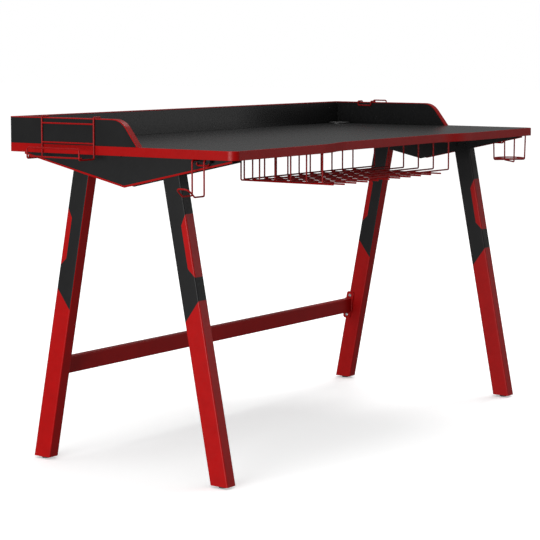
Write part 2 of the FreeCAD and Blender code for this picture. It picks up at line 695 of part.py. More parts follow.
def outward(points, seat, sign):
    """Places for bolts that point outward along X, their heads seated a sheet inside the leg's face."""
    turn = Rotation(UP, ALONG_X * sign)
    return [Placement(point - ALONG_X * (sign * seat), turn) for point in points]


leg_bolt_places = []
flange_bolt_places = []
for _, sign in SIDES:
    for _, end in ENDS:
        leg_bolt_places += outward(leg_bolt_points(sign, end), size.cheek_sheet, sign)
    flange_bolt_places += outward(flange_bolt_points(sign), size.flange_sheet, sign)
sub_part(copies("leg_bolts", leg_bolt, leg_bolt_places), "leg_bolts")
sub_part(copies("stretcher_bolts", flange_bolt, flange_bolt_places), "stretcher_bolts")


def upward(points):
    return [Placement(point, Rotation()) for point in points]


panel_screw_places = rear_screw_places + side_screw_places[-1] + side_screw_places[1]
sub_part(copies("rail_screws", rail_screw, upward(rail_screw_places)), "rail_screws")
sub_part(copies("panel_screws", panel_screw, upward(panel_screw_places)), "panel_screws")
sub_part(copies("basket_screws", clip_screw, upward(clip_screw_places)), "basket_screws")
sub_part(copies("clamp_screws", clamp_screw, upward(clamp_screw_places)), "clamp_screws")


# Wire basket under the front half of the desktop

basket_floor = underside - size.basket_drop
cross_floor = basket_floor + wire_step
wire_top = underside - size.weld_gap
corner_step = size.basket_bend - (size.basket_bend + wire_step) * math.sqrt(0.5)
long_runs = [(corner_step - size.basket_half, cross_floor + corner_step)]
long_runs += [(i * size.basket_long_pitch - long_half, basket_floor) for i in range(1, LONG_WIRES)]
long_wires = []
for x, z in long_runs:
    route = [Vector(x, basket_rear, wire_top), Vector(x, basket_rear, z), Vector(x, basket_front, z)]
    long_wires.append(bent_wire(route, [size.basket_bend], size.basket_wire))
sub_part(wires("long_wires", long_wires), "basket_long_wires")

cross_wires = []
for i in range(CROSS_WIRES):
    y = first_cross_y - i * size.basket_cross_pitch
    route = [
        Vector(-size.basket_half, y, wire_top),
        Vector(-size.basket_half, y, cross_floor),
        Vector(size.basket_half, y, cross_floor),
        Vector(size.basket_half, y, wire_top),
    ]
    cross_wires.append(bent_wire(route, [size.basket_bend] * 2, size.basket_wire))
sub_part(wires("cross_wires", cross_wires), "basket_cross_wires")

back_bar_start = Vector(-long_half - wire_step, back_bar_y, bar_z)
BACK_BAR = "2 * (basket_half + 2 * (2 * basket_wire + weld_gap))"
top_bars = [rod("back_bar", "basket_wire", BACK_BAR, back_bar_start, ALONG_X)]
END_BAR = f"{CROSS_WIRES - 1} * basket_cross_pitch + basket_first_wire"
end_bar_y = basket_rear - size.basket_wire - size.weld_gap
for side, sign in SIDES:
    start = Vector(sign * long_half, end_bar_y, bar_z)
    top_bars.append(rod(f"{side}_end_bar", "basket_wire", END_BAR, start, -ALONG_Y))
sub_part(gathered("top_bars", top_bars), "basket_top_bars")

clip_section = [
    ("-basket_wire - clip_lip", "-clip_sheet"),
    ("basket_wire + clip_pad", "-clip_sheet"),
    ("basket_wire + clip_pad", "2 * basket_wire"),
    ("basket_wire + weld_gap", "2 * basket_wire"),
    ("basket_wire + weld_gap", "0"),
    ("-basket_wire - clip_lip", "0"),
]
clip_blank = plate("clip_blank", "YZ_Plane", clip_section, "clip_width", Vector(-size.clip_width / 2, 0, 0))
drill_base = Vector(0, clip_reach, -size.clip_sheet - size.overrun)
clip_drill = rod("clip_drill", SCREW_HOLE, f"{CLIP_GRIP} + 2 * overrun", drill_base)
clip = cut("clip", clip_blank, clip_drill)
sub_part(copies("basket_clips", clip, clip_places), "basket_clips")


# Rack hung over the left side panel

rack_front = size.rack_middle - size.rack_length / 2
rack_rear = size.rack_middle + size.rack_length / 2
rack_x = half_width + size.rack_reach
tray_z = size.top_height - size.rack_drop


def rack_side(y):
    """One side of the rack: from its tail inside the panel, over the top, down, out and up to the lip."""
    return [
        Vector(-hang_tail_x, y, hang_z - size.rack_tail),
        Vector(-hang_tail_x, y, hang_z),
        Vector(-hang_x, y, hang_z),
        Vector(-hang_x, y, tray_z),
        Vector(-rack_x, y, tray_z),
        Vector(-rack_x, y, tray_z + size.rack_lip),
    ]


rack_route = rack_side(rack_front) + rack_side(rack_rear)[::-1]
rack_half = [hang_bend, hang_bend, size.wire_bend, size.wire_bend, size.wire_bend]
rack_bends = rack_half + rack_half[::-1]
sub_part(wires("rack_frame", [bent_wire(rack_route, rack_bends, size.wire_radius)]), "rack_frame")

bar_start = rack_front + size.wire_radius + size.weld_gap
CROSS_BAR = "rack_length - 2 * (wire_radius + weld_gap)"
rack_bars = [
    rod("rack_bar", "wire_radius", CROSS_BAR, Vector(-hang_x, bar_start, size.top_height + height), ALONG_Y)
    for height in (size.rack_bar_high, size.rack_bar_low)
]
tray_bar_z = tray_z + 2 * size.wire_radius + size.weld_gap
tray_bar_start = Vector(size.rack_bar_setback - rack_x, rack_front - size.wire_radius, tray_bar_z)
rack_bars.append(rod("tray_bar", "wire_radius", "rack_length + 2 * wire_radius", tray_bar_start, ALONG_Y))
sub_part(gathered("rack_bars", rack_bars), "rack_bars")


# Hook hung over the right side panel

hook_x = half_width + size.hook_reach
hook_lip_z = size.top_height + size.hook_lip
hook_floor_z = size.top_height + size.hook_floor


def hook_side(y, seam_y):
    """One side of the hook: from the seam in its tail, over the panel, down, out and up to the lip."""
    tail_z = hang_z - size.hook_tail
    return [
        Vector(hang_tail_x, seam_y, tail_z),
        Vector(hang_tail_x, y, tail_z),
        Vector(hang_tail_x, y, hang_z),
        Vector(hang_x, y, hang_z),
        Vector(hang_x, y, hook_floor_z),
        Vector(hook_x, y, hook_floor_z),
        Vector(hook_x, y, hook_lip_z),
    ]


hook_front = hook_side(size.hook_middle - size.hook_length / 2, size.hook_middle - size.butt_gap / 2)
hook_rear = hook_side(size.hook_middle + size.hook_length / 2, size.hook_middle + size.butt_gap / 2)
hook_route = hook_front + hook_rear[::-1]
hook_half = [size.wire_bend, hang_bend, hang_bend, size.wire_bend, size.wire_bend, size.wire_bend]
hook_bends = hook_half + hook_half[::-1]
sub_part(wires("panel_hook", [bent_wire(hook_route, hook_bends, size.wire_radius)]), "panel_hook")


# Headset hook under the left overhang

holder_front = -size.holder_y - size.holder_width / 2
holder_rear = -size.holder_y + size.holder_width / 2
arm_z = underside - size.headset_drop
arm_x = upright_x + size.headset_arm


def headset_side(y, seam_y):
    """One side of the headset hook: from the seam in its tail to the top of its lip."""
    tail_z = underside - size.headset_tail
    return [
        Vector(-tail_x, seam_y, tail_z),
        Vector(-tail_x, y, tail_z),
        Vector(-tail_x, y, run_z),
        Vector(-upright_x, y, run_z),
        Vector(-upright_x, y, arm_z),
        Vector(-arm_x, y, arm_z),
        Vector(-arm_x - size.headset_lip_reach, y, arm_z + size.headset_lip_rise),
    ]


headset_front = headset_side(holder_front, -size.holder_y - size.butt_gap / 2)
headset_rear = headset_side(holder_rear, -size.holder_y + size.butt_gap / 2)
side_bends = [size.wire_bend] * (len(headset_front) - 2)
headset_bends = side_bends + [size.headset_lip_round] * 2 + side_bends
headset_wire = bent_wire(headset_front + headset_rear[::-1], headset_bends, size.wire_radius)
sub_part(wires("headset_hook", [headset_wire]), "headset_hook")


# Cup holder outside the right edge

holder_step = 2 * size.wire_radius + size.weld_gap
floor_ring_z = run_z - size.cup_depth
cup_middle = Vector(cup_x, -size.holder_y, 0)


def ring(name, radius, height):
    torus = bind(doc.addObject("Part::Torus", name), Radius1=radius, Radius2="wire_radius")
    torus.Placement = Placement(cup_middle + UP * height, Rotation())
    return torus


top_ring = ring("cup_top_ring", "cup_top_radius", run_z)
floor_ring = ring("cup_floor_ring", "cup_floor_radius", floor_ring_z)
sub_part(gathered("cup_rings", [top_ring, floor_ring]), "cup_holder_rings")

cup_wires = []
for level, angle in enumerate(CUP_WIRE_ANGLES, 1):
    across = Vector(math.cos(math.radians(angle)), math.sin(math.radians(angle)), 0)
    top_offset = across * (size.cup_top_radius + holder_step)
    floor_offset = across * (size.cup_floor_radius + holder_step)
    top = cup_middle + UP * (run_z + size.wire_radius)
    floor = cup_middle + UP * (floor_ring_z - level * holder_step)
    route = [top - top_offset, floor - floor_offset, floor + floor_offset, top + top_offset]
    cup_wires.append(bent_wire(route, [size.wire_bend] * 2, size.wire_radius))
sub_part(wires("cup_wires", cup_wires), "cup_holder_wires")

arm_half = size.holder_width / 2
near_edge = math.sqrt((size.cup_top_radius + size.wire_radius) ** 2 - (arm_half - size.wire_radius) ** 2)
cup_arm_end = cup_x - near_edge - size.weld_gap
cup_tail_z = underside - size.cup_tail
arm_route = [
    Vector(cup_arm_end, holder_front, run_z),
    Vector(tail_x, holder_front, run_z),
    Vector(tail_x, holder_front, cup_tail_z),
    Vector(tail_x, holder_rear, cup_tail_z),
    Vector(tail_x, holder_rear, run_z),
    Vector(cup_arm_end, holder_rear, run_z),
]
arm_bends = [size.wire_bend] * (len(arm_route) - 2)
sub_part(wires("cup_arm", [bent_wire(arm_route, arm_bends, size.wire_radius)]), "cup_holder_arm")


# Clamp strips that hold the headset hook and the cup holder's arm under the desktop

PAD_START = "(holder_width / 2 + wire_radius + clamp_room)"
PAD_END = f"({PAD_START} + clamp_pad)"
clamp_section = [
    (f"-{PAD_END}", "-clamp_sheet"),
    (PAD_END, "-clamp_sheet"),
    (PAD_END, "2 * wire_radius"),
    (PAD_START, "2 * wire_radius"),
    (PAD_START, "0"),
    (f"-{PAD_START}", "0"),
    (f"-{PAD_START}", "2 * wire_radius"),
    (f"-{PAD_END}", "2 * wire_radius"),
]
for side, sign, label in (("left", -1, "headset_hook_clamp"), ("right", 1, "cup_holder_clamp")):
    low = sign * clamp_x - size.clamp_width / 2
    base = Vector(low, -size.holder_y, underside - 2 * size.wire_radius)
    strip = plate(f"{side}_clamp_strip", "YZ_Plane", clamp_section, "clamp_width", base)
    seats = [place - UP * size.overrun for place in clamp_screw_places if place.x * sign > 0]
    drill = f"{CLAMP_GRIP} + 2 * overrun"
    drills = [rod(f"{side}_clamp_drill", SCREW_HOLE, drill, seat) for seat in seats]
    sub_part(cut(f"{side}_clamp", strip, gathered(f"{side}_clamp_drills", drills)), label)


# Cable grommet in the desktop's rear right corner

grommet_place = Placement(Vector(grommet_x, grommet_y, size.top_height), Rotation())
BORE = "liner_radius - liner_wall"
CAP = f"({BORE} + cap_seat)"
REBATE = f"{CAP} + cap_clearance"
FLANGE = f"{REBATE} + grommet_rim"
CAP_FLOOR = "grommet_height - cap_thickness"
liner = turned(
    "liner",
    [
        (BORE, "-liner_length"),
        ("liner_radius", "-liner_length"),
        ("liner_radius", "0"),
        (FLANGE, "0"),
        (FLANGE, "grommet_height"),
        (REBATE, "grommet_height"),
        (REBATE, CAP_FLOOR),
        (BORE, CAP_FLOOR),
    ],
)
liner.Placement = grommet_place
sub_part(liner, "grommet_liner")

cap_base = Vector(grommet_x, grommet_y, size.top_height + size.grommet_height - size.cap_thickness)
cap_radius = size.liner_radius - size.liner_wall + size.cap_seat
cap_disc = rod("cap_disc", CAP, "cap_thickness", cap_base)
slot_base = cap_base - UP * size.overrun
SLOT_DEPTH = "cap_thickness + 2 * overrun"
slot_end = rod("slot_end", "slot_width / 2", SLOT_DEPTH, slot_base - ALONG_Y * size.slot_centre)
slot_corner = slot_base - Vector(size.slot_width / 2, cap_radius + size.overrun, 0)
slot_mouth = box("slot_mouth", "slot_width", f"{CAP} + overrun - slot_centre", SLOT_DEPTH, slot_corner)
slot = doc.addObject("Part::Fuse", "slot")
slot.Base = slot_end
slot.Tool = slot_mouth
sub_part(cut("cap", cap_disc, slot), "grommet_cap")


# The origin goes under the centre of the whole desk, holders included

left_reach = max(rack_x, arm_x + size.headset_lip_reach) + size.wire_radius
right_reach = max(hook_x, cup_x + size.cup_top_radius) + size.wire_radius
to_origin = Placement(ALONG_X * ((left_reach - right_reach) / 2), Rotation())
doc.recompute()
for part in sub_parts:
    part.Placement = to_origin.multiply(part.Placement)
doc.recompute()

faults = [item.Name for item in doc.Objects if "Invalid" in item.State or "Error" in item.State]
faults += [part.Label for part in sub_parts if part.Shape.isNull() or not part.Shape.isValid()]
if faults:
    raise RuntimeError(f"these did not build: {faults}")

os.makedirs("parts", exist_ok=True)
for part in sub_parts:
    part.Shape.exportStep(f"parts/{part.Label}.step")
print(len(sub_parts), "sub-parts written")
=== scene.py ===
"""Gaming desk: its visible pieces, their finishes and the studio stage, shaped round the packed frame.

Metres, +Z up, front towards -Y. Every piece sits at the origin with its place in its mesh, where the frame's
nodes say it is. The file is laid out as an add-on and is run as a script.
"""
import math
from types import SimpleNamespace

import bmesh
import bpy
from mathutils import Matrix, Vector


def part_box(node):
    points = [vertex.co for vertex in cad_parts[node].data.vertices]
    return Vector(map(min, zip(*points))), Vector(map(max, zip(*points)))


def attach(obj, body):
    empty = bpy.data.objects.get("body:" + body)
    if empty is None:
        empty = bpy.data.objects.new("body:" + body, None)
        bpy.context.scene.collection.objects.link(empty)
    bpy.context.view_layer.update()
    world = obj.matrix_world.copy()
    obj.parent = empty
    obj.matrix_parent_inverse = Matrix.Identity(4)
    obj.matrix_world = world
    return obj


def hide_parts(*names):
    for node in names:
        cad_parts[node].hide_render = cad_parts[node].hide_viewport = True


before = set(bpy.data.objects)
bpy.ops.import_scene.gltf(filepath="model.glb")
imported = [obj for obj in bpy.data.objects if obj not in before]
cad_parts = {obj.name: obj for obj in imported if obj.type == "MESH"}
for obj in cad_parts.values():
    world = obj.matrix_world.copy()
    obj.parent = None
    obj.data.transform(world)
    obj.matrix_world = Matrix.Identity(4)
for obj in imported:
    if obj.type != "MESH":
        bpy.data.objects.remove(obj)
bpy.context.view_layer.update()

bl_info = {
    "name": "Gaming desk",
    "version": (1, 0, 0),
    "blender": (4, 5, 0),
    "location": "3D View > Sidebar > Desk",
    "description": "Builds the desk's visible pieces, finishes and stage round its packed frame",
    "category": "Object",
}

UP = Vector((0, 0, 1))
RIGHT = Vector((1, 0, 0))
SIDES = (("left", -1), ("right", 1))
ENDS = ("front", "back")
WHITE = (1.0, 1.0, 1.0, 1.0)

# Distances in metres within which points count as one or as level, and digits that sort boxes
MERGE = 1e-6
HAIR = 1e-5
ORDER_DIGITS = 5

# Divisions of arcs, turned pieces, eased rims, wire tips, weld beads and grip ribs
ARC_STEPS = 8
TURN_STEPS = 48
SCREW_STEPS = 24
RIM_STEPS = 2
TIP_STEPS = 3
BEAD_STEPS = 3
RIB_SIDES = 8
HEX_CORNERS = 6
CROSS_ARMS = 4

# Angles, the share of a slanting step that goes each way, and the profile of a round rim
QUARTER = math.radians(90)
SHARP_EDGE = math.radians(40)
INWARD_FACE = math.radians(50)
FIRST_CUP_WIRE = math.radians(135)
DIAGONAL = math.sqrt(0.5)
ROUND_PROFILE = 0.5

# Values between which most of a noise lies
NOISE_LOW = 0.3
NOISE_HIGH = 0.7


# Settings that a user would change

def length(name, description, default):
    """A length setting."""
    return bpy.props.FloatProperty(
        name=name,
        description=description,
        default=default,
        min=0.0,
        unit="LENGTH",
        subtype="DISTANCE",
        precision=4,
    )


def share(name, description, default):
    """A share of some other size."""
    return bpy.props.FloatProperty(name=name, description=description, default=default, subtype="FACTOR")


def count(name, description, default):
    """A whole number of things."""
    return bpy.props.IntProperty(name=name, description=description, default=default, min=1)


def position(name, description, default):
    """A place measured from the point of the floor under the desktop's middle."""
    return bpy.props.FloatVectorProperty(
        name=name, description=description, default=default, unit="LENGTH", subtype="TRANSLATION"
    )


def power(name, description, default):
    """Power of a light."""
    return bpy.props.FloatProperty(name=name, description=description, default=default, unit="POWER")


def brightness(name, description, default):
    """Brightness of a surface or of even light, where white is 1."""
    return bpy.props.FloatProperty(name=name, description=description, default=default, min=0.0)


def angle(name, description, degrees):
    """An angle setting, written in degrees."""
    return bpy.props.FloatProperty(
        name=name, description=description, default=math.radians(degrees), subtype="ANGLE", unit="ROTATION"
    )


def colour(name, description, default):
    """A colour setting, in linear light."""
    return bpy.props.FloatVectorProperty(
        name=name, description=description, default=default, size=4, min=0.0, max=1.0, subtype="COLOR"
    )


class BoardSizes(bpy.types.PropertyGroup):
    """Desktop, panels and their red edging."""

    corner_round: length("Corner round", "Front corners of the desktop", 0.020)
    recess_depth: length("Recess depth", "Shallow recess in the front edge", 0.025)
    recess_run: length("Recess run", "Length of the S-curve at each end of the recess", 0.080)
    recess_centre: length("Recess centre", "Middle of the desktop to the middle of an S-curve", 0.284)
    recess_arc_share: share("Recess arc share", "Share of the S-curve that its arcs take up", 0.92)
    slope_run: length("Slope run", "Front slope of a side panel, seen from above", 0.048)
    shoulder_round: length("Shoulder round", "Round between a side panel's top and its slope", 0.050)
    strip_round: length("Strip round", "Rounded long edges of the edging strips", 0.0006)
    rim_round: length("Rim round", "Eased rims of the boards", 0.0003)
    hole_room: length("Hole room", "Radial room of the grommet in its hole", 0.0002)


class FrameSizes(bpy.types.PropertyGroup):
    """Side frames, stretcher and feet."""

    tube_corner: length("Tube corner", "Outer corners of the square tubes", 0.003)
    tube_wall: length("Tube wall", "Wall of the square tubes", 0.0015)
    sheet_round: length("Sheet round", "Eased rims of sheet parts", 0.0004)
    flange_width: length("Flange width", "Stretcher flange, across the leg", 0.024)
    flange_length: length("Flange length", "Stretcher flange, along the leg", 0.080)
    flange_corner: length("Flange corner", "Corners of the stretcher flange", 0.006)
    weld_bead: length("Weld bead", "Radius of the bead where the stretcher meets its flanges", 0.0018)
    foot_round: length("Foot round", "Rounded rims of a levelling foot", 0.0010)
    foot_ribs: count("Foot ribs", "Grip ribs round a levelling foot", 32)
    rib_radius: length("Rib radius", "One grip rib", 0.0005)
    stud_pitch: length("Stud pitch", "Thread of a levelling foot's stud", 0.00125)
    stud_groove_share: share("Stud groove share", "Thread depth as a share of the stud's radius", 0.15)


class PaintMarks(bpy.types.PropertyGroup):
    """Heights at which the two colours of a leg change, measured from the floor."""

    lozenge_top: length("Lozenge top", "Top of the red lozenge at the leg's outer edge", 0.609)
    lozenge_upper: length("Lozenge upper corner", "Upper inner corner of the lozenge", 0.583)
    lozenge_lower: length("Lozenge lower corner", "Lower inner corner of the lozenge", 0.487)
    lozenge_foot: length("Lozenge foot", "Foot of the lozenge at the leg's outer edge", 0.469)
    lozenge_reach: length("Lozenge reach", "Leg's outer edge to the lozenge's inner side", 0.016)
    slant_outer: length("Slant at outer edge", "Where the red lower part starts, outer edge", 0.417)
    slant_inner: length("Slant at inner edge", "Where the red lower part starts, inner edge", 0.364)


class WireSizes(bpy.types.PropertyGroup):
    """Bent wire of the basket and the holders."""

    radius: length("Wire radius", "Basket and holder wire", 0.002)
    sides: count("Wire sides", "Flats round a wire", 16)
    bend_steps: count("Bend steps", "Divisions of a bend", 8)
    weld_radius: length("Weld radius", "Bead where two wires are welded", 0.0021)
    weld_gap: length("Weld gap", "Between wires that are welded together", 0.0001)
    tip_share: share("Tip round share", "Share of the wire's radius that a cut tip is rounded by", 0.4)
    basket_bend: length("Basket bend", "Bends of the basket's wires", 0.0032)
    bend: length("Holder bend", "Bends of the holders' wires", 0.004)
    hang_clearance: length("Hang clearance", "Hung wire to the panel that carries it", 0.0003)
    rack_lip: length("Rack lip", "Rack's lip above its tray", 0.025)
    rack_tail: length("Rack tail", "Rack's tails inside the panel", 0.014)
    hook_tail: length("Hook tail", "Panel hook's tail inside the panel", 0.012)
    headset_inset: length("Headset inset", "Desktop's edge in to the headset hook's uprights", 0.0015)
    headset_tail: length("Headset tail", "Underside of the desktop to the headset hook's tail", 0.014)
    headset_arm: length("Headset arm", "Arm of the headset hook", 0.034)
    headset_rise: length("Headset rise", "Lip of the headset hook above its arm", 0.0185)
    headset_round: length("Headset round", "Round of the headset hook's lip", 0.011)
    ring_steps: count("Ring steps", "Divisions of a cup holder ring", 72)
    clip_lip: length("Clip lip", "Basket clip past its bar", 0.003)
    clip_sheet: length("Clip sheet", "Sheet of the basket clips", 0.002)
    clamp_sheet: length("Clamp sheet", "Sheet of the holder clamps", 0.0025)
    clamp_pad: length("Clamp pad", "Pad at each end of a clamp", 0.010)
    sheet_round: length("Sheet round", "Eased rims of clips and clamps", 0.0004)


class FastenerSizes(bpy.types.PropertyGroup):
    """Screws and bolts."""

    screw_radius: length("Screw radius", "Wood screw over its thread", 0.002)
    screw_pitch: length("Screw pitch", "Thread of a wood screw", 0.0018)
    screw_head: length("Screw head", "Height of a wood screw's head", 0.0024)
    cross_length: length("Cross length", "Cross recess, tip to tip", 0.0046)
    cross_width: length("Cross width", "Cross recess, across one slot", 0.0011)
    cross_depth: length("Cross depth", "Cross recess", 0.0014)
    bolt_radius: length("Bolt radius", "Frame bolt over its thread", 0.003)
    bolt_pitch: length("Bolt pitch", "Thread of a frame bolt", 0.001)
    bolt_head: length("Bolt head", "Height of a frame bolt's head", 0.003)
    socket_radius: length("Socket radius", "Corner radius of a bolt's hex socket", 0.0023)
    socket_depth: length("Socket depth", "Hex socket of a bolt", 0.0018)
    thread_share: share("Thread share", "Thread depth as a share of the shank's radius", 0.2)
    dome_share: share("Dome share", "Rounded share of a head's height", 0.8)


class GrommetSizes(bpy.types.PropertyGroup):
    """Cable grommet in the desktop."""

    rim_round: length("Rim round", "Rounded upper rim of the flange", 0.0012)
    edge_round: length("Edge round", "Eased edges of liner and cap", 0.0004)
    slot_width: length("Slot width", "Cable slot in the cap", 0.014)
    slot_centre: length("Slot centre", "Middle of the cap to the round end of its slot", 0.012)
    dish_inset: length("Dish inset", "Plain rim round the cap's dished top", 0.0022)
    dish_depth: length("Dish depth", "Dished top of the cap", 0.0004)
    rebate_gap: length("Rebate gap", "Room round the cap in the flange", 0.0003)


class FinishColours(bpy.types.PropertyGroup):
    """Colours of the finishes."""

    laminate: colour("Laminate", "Dark laminate of the boards", (0.0098, 0.0098, 0.0100, 1.0))
    edging: colour("Edging", "Red edge strips", (0.245, 0.0016, 0.0015, 1.0))
    red_coat: colour("Red coat", "Red powder coat", (0.285, 0.0014, 0.0016, 1.0))
    black_coat: colour("Black coat", "Black powder coat", (0.0090, 0.0090, 0.0092, 1.0))
    wire_coat: colour("Wire coat", "Red coat of the wires", (0.220, 0.0030, 0.0032, 1.0))
    zinc: colour("Zinc", "Bright zinc of screws and bolts", (0.62, 0.63, 0.66, 1.0))
    plastic: colour("Plastic", "Black moulded plastic", (0.0090, 0.0090, 0.0092, 1.0))
    rubber: colour("Rubber", "Levelling feet", (0.0090, 0.0090, 0.0090, 1.0))


class StageSettings(bpy.types.PropertyGroup):
    """Camera, lights and floor."""

    camera_place: position("Camera place", "Where the camera stands", (-3.9133, -2.6887, 0.9870))
    camera_heading: angle("Camera heading", "Turn from the desk's front towards its right", 54.788)
    camera_dip: angle("Camera dip", "Tilt below the horizon", 5.323)
    camera_lens: bpy.props.FloatProperty(
        name="Lens", description="Focal length", default=123.32, unit="CAMERA"
    )
    camera_shift: bpy.props.FloatProperty(
        name="Shift", description="Upright shift of the picture, as a share of its width", default=-0.10
    )
    floor_size: length("Floor size", "Side of the square floor", 60.0)
    floor_drop: length("Floor drop", "Floor below the feet", 0.0004)
    floor_glow: brightness("Floor glow", "Light that the pale floor gives by itself", 0.35)
    floor_tone: brightness("Floor tone", "Share of the light that the floor throws back", 0.94)
    sky_light: brightness("Sky light", "Even light from all round", 0.2)
    aim: position("Light aim", "Point that the lights look at", (0.0, 0.0, 0.45))
    key_place: position("Key light place", "Low light on the left", (-6.5, -0.5, 0.69))
    key_width: length("Key light width", "Width of the light on the left", 4.0)
    key_height: length("Key light height", "Height of the light on the left", 1.32)
    key_power: power("Key light power", "Power of the light on the left", 440.0)
    front_place: position("Front light place", "Light before the desk, on the right", (5.9, -5.6, 2.15))
    front_width: length("Front light width", "Width of the light before the desk", 3.6)
    front_height: length("Front light height", "Height of the light before the desk", 3.4)
    front_power: power("Front light power", "Power of the light before the desk", 84.0)
    side_place: position("Side light place", "High light on the right", (3.8, 0.3, 6.0))
    side_width: length("Side light width", "Width of the light on the right", 2.6)
    side_height: length("Side light height", "Height of the light on the right", 1.8)
    side_power: power("Side light power", "Power of the light on the right", 120.0)
    top_light: brightness("Top light", "Even light from overhead", 1.75)
    top_spread: angle("Top light spread", "Part of the sky that the light overhead fills", 100.0)


# What the frame says

top_low, top_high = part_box("desktop_edge_band")
board_low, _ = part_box("desktop_board")
middle = (top_low + top_high) / 2
band = board_low.x - top_low.x


def box_round(places):
    """Lowest and highest corner of some points."""
    low = Vector([min(place[i] for place in places) for i in range(3)])
    high = Vector([max(place[i] for place in places) for i in range(3)])
    return low, high


def solids(node):
    """Boxes of the separate solids of a CAD node, in order from the left."""
    shape = bmesh.new()
    shape.from_mesh(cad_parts[node].data)
    bmesh.ops.remove_doubles(shape, verts=shape.verts, dist=MERGE)
    boxes = []
    waiting = set(shape.verts)
    while waiting:
        island = [waiting.pop()]
        for vert in island:
            near = {edge.other_vert(vert) for edge in vert.link_edges} & waiting
            waiting -= near
            island.extend(near)
        boxes.append(box_round([vert.co for vert in island]))
    shape.free()
    return sorted(boxes, key=lambda box: [round(value, ORDER_DIGITS) for value in box[0]])


def level(node, height):
    """Corners of a CAD node at a height."""
    return [v.co.copy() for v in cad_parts[node].data.vertices if abs(v.co.z - height) < HAIR]


def radii(node, height, axis):
    """Distances of a CAD node's corners at a height from an upright axis."""
    return [(corner - axis).xy.length for corner in level(node, height)]


def leg_line(node):
    """How a leg stands: its width, depth, lean and centre line."""
    low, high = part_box(node)
    foot = [corner.y for corner in level(node, low.z)]
    head = [corner.y for corner in level(node, high.z)]
    across = max(foot) - min(foot)
    foot_y = (min(foot) + max(foot)) / 2
    slope = ((min(head) + max(head)) / 2 - foot_y) / (high.z - low.z)
    return SimpleNamespace(
        low=low.z,
        high=high.z,
        x=(low.x + high.x) / 2,
        width=high.x - low.x,
        across=across,
        slope=slope,
        cosine=math.cos(math.atan(slope)),
        out=math.copysign(1, foot_y - middle.y),
        y=lambda z: foot_y + slope * (z - low.z),
    )


# Shapes that several pieces use

def rounded(corners):
    """A closed outline through corners (across, up, radius), each radius above zero worked as an arc."""
    points = []
    for before, corner, after in zip(corners[-1:] + corners[:-1], corners, corners[1:] + corners[:1]):
        place = Vector(corner[:2])
        radius = corner[2]
        if radius <= 0:
            points.append(place)
            continue
        into = (place - Vector(before[:2])).normalized()
        out = (Vector(after[:2]) - place).normalized()
        turn = math.atan2(into.x * out.y - into.y * out.x, into.dot(out))
        centre = place + (out - into).normalized() * (radius / math.cos(turn / 2))
        spoke = place - into * (radius * abs(math.tan(turn / 2))) - centre
        for i in range(ARC_STEPS + 1):
            points.append(centre + Matrix.Rotation(turn * i / ARC_STEPS, 2) @ spoke)
    return points


def rounded_section(width, depth, radius):
    """A rectangle about its middle with rounded corners."""
    half = (width / 2, depth / 2)
    return rounded([(sx * half[0], sy * half[1], radius) for sx, sy in ((-1, -1), (1, -1), (1, 1), (-1, 1))])


def circle(radius, centre, height, steps=TURN_STEPS):
    """A level ring of points."""
    turns = [math.tau * i / steps for i in range(steps)]
    return [Vector((centre.x + radius * math.cos(t), centre.y + radius * math.sin(t), height)) for t in turns]


def pairs(items, closed):
    """Each item with the next one, and the last with the first if closed."""
    return list(zip(items, items[1:])) + ([(items[-1], items[0])] if closed else [])


def loft(shape, rings, closed_rings=True, closed_path=False):
    """Faces between rings of points, each ring with as many points as the next."""
    rows = [[shape.verts.new(point) for point in ring] for ring in rings]
    for first, second in pairs(rows, closed_path):
        for (a, b), (d, c) in zip(pairs(first, closed_rings), pairs(second, closed_rings)):
            shape.faces.new((a, b, c, d))
    return rows


def eased(shape, faces, width, steps):
    """Rounds the rims of some faces."""
    rims = list({edge for face in faces for edge in face.edges})
    bmesh.ops.bevel(
        shape,
        geom=rims,
        offset=width,
        offset_type="OFFSET",
        segments=steps,
        profile=ROUND_PROFILE,
        affect="EDGES",
    )


def prism(shape, outline, thickness):
    """An outline of points made thick along a vector. Gives its two caps."""
    rows = loft(shape, [outline, [point + thickness for point in outline]])
    return [shape.faces.new(row) for row in rows]


def plate(shape, outline, thickness, ease):
    """A flat piece: a prism with its rims eased."""
    eased(shape, prism(shape, outline, thickness), ease, RIM_STEPS)


def drilled(shape, rims, bores):
    """A body between outer rings and the rings of a bore, closed flat at both ends."""
    outer = loft(shape, rims)
    inner = loft(shape, bores)
    for end in (0, -1):
        loops = pairs(outer[end], True) + pairs(inner[end], True)
        edges = [shape.edges.get(ends) for ends in loops]
        bmesh.ops.triangle_fill(shape, use_beauty=True, use_dissolve=False, edges=edges)


def edging(shape, section, run, closed):
    """A strip whose section of (inset, across) follows a run of points, worked out for each inset."""
    rows = loft(shape, [run(*point) for point in section], closed_rings=closed, closed_path=True)
    if not closed:
        shape.faces.new([row[0] for row in rows])
        shape.faces.new([row[-1] for row in rows])


def strip_section(thickness, low, high, radius):
    """Section of an edge strip: square inside, rounded outside."""
    corners = [(thickness, low, 0), (0, low, radius), (0, high, radius), (thickness, high, 0)]
    return [tuple(point) for point in rounded(corners)]


def square_tube(shape, ring, width, depth, wall, corner, ends):
    """An open square tube. The ring function places a section at one end."""
    outer = rounded_section(width, depth, corner)
    inner = rounded_section(width - 2 * wall, depth - 2 * wall, corner - wall)
    rings = [ring(outer, ends[0]), ring(outer, ends[1]), ring(inner, ends[1]), ring(inner, ends[0])]
    loft(shape, rings, closed_path=True)


def turned(shape, profile, place, steps=TURN_STEPS):
    """A round piece: a closed profile of (radius, height) turned about the vertical through a place."""
    rings = []
    for i in range(steps):
        turn = math.tau * i / steps
        spoke = Vector((math.cos(turn), math.sin(turn), 0))
        rings.append([place + spoke * radius + UP * height for radius, height in profile])
    loft(shape, rings, closed_path=True)


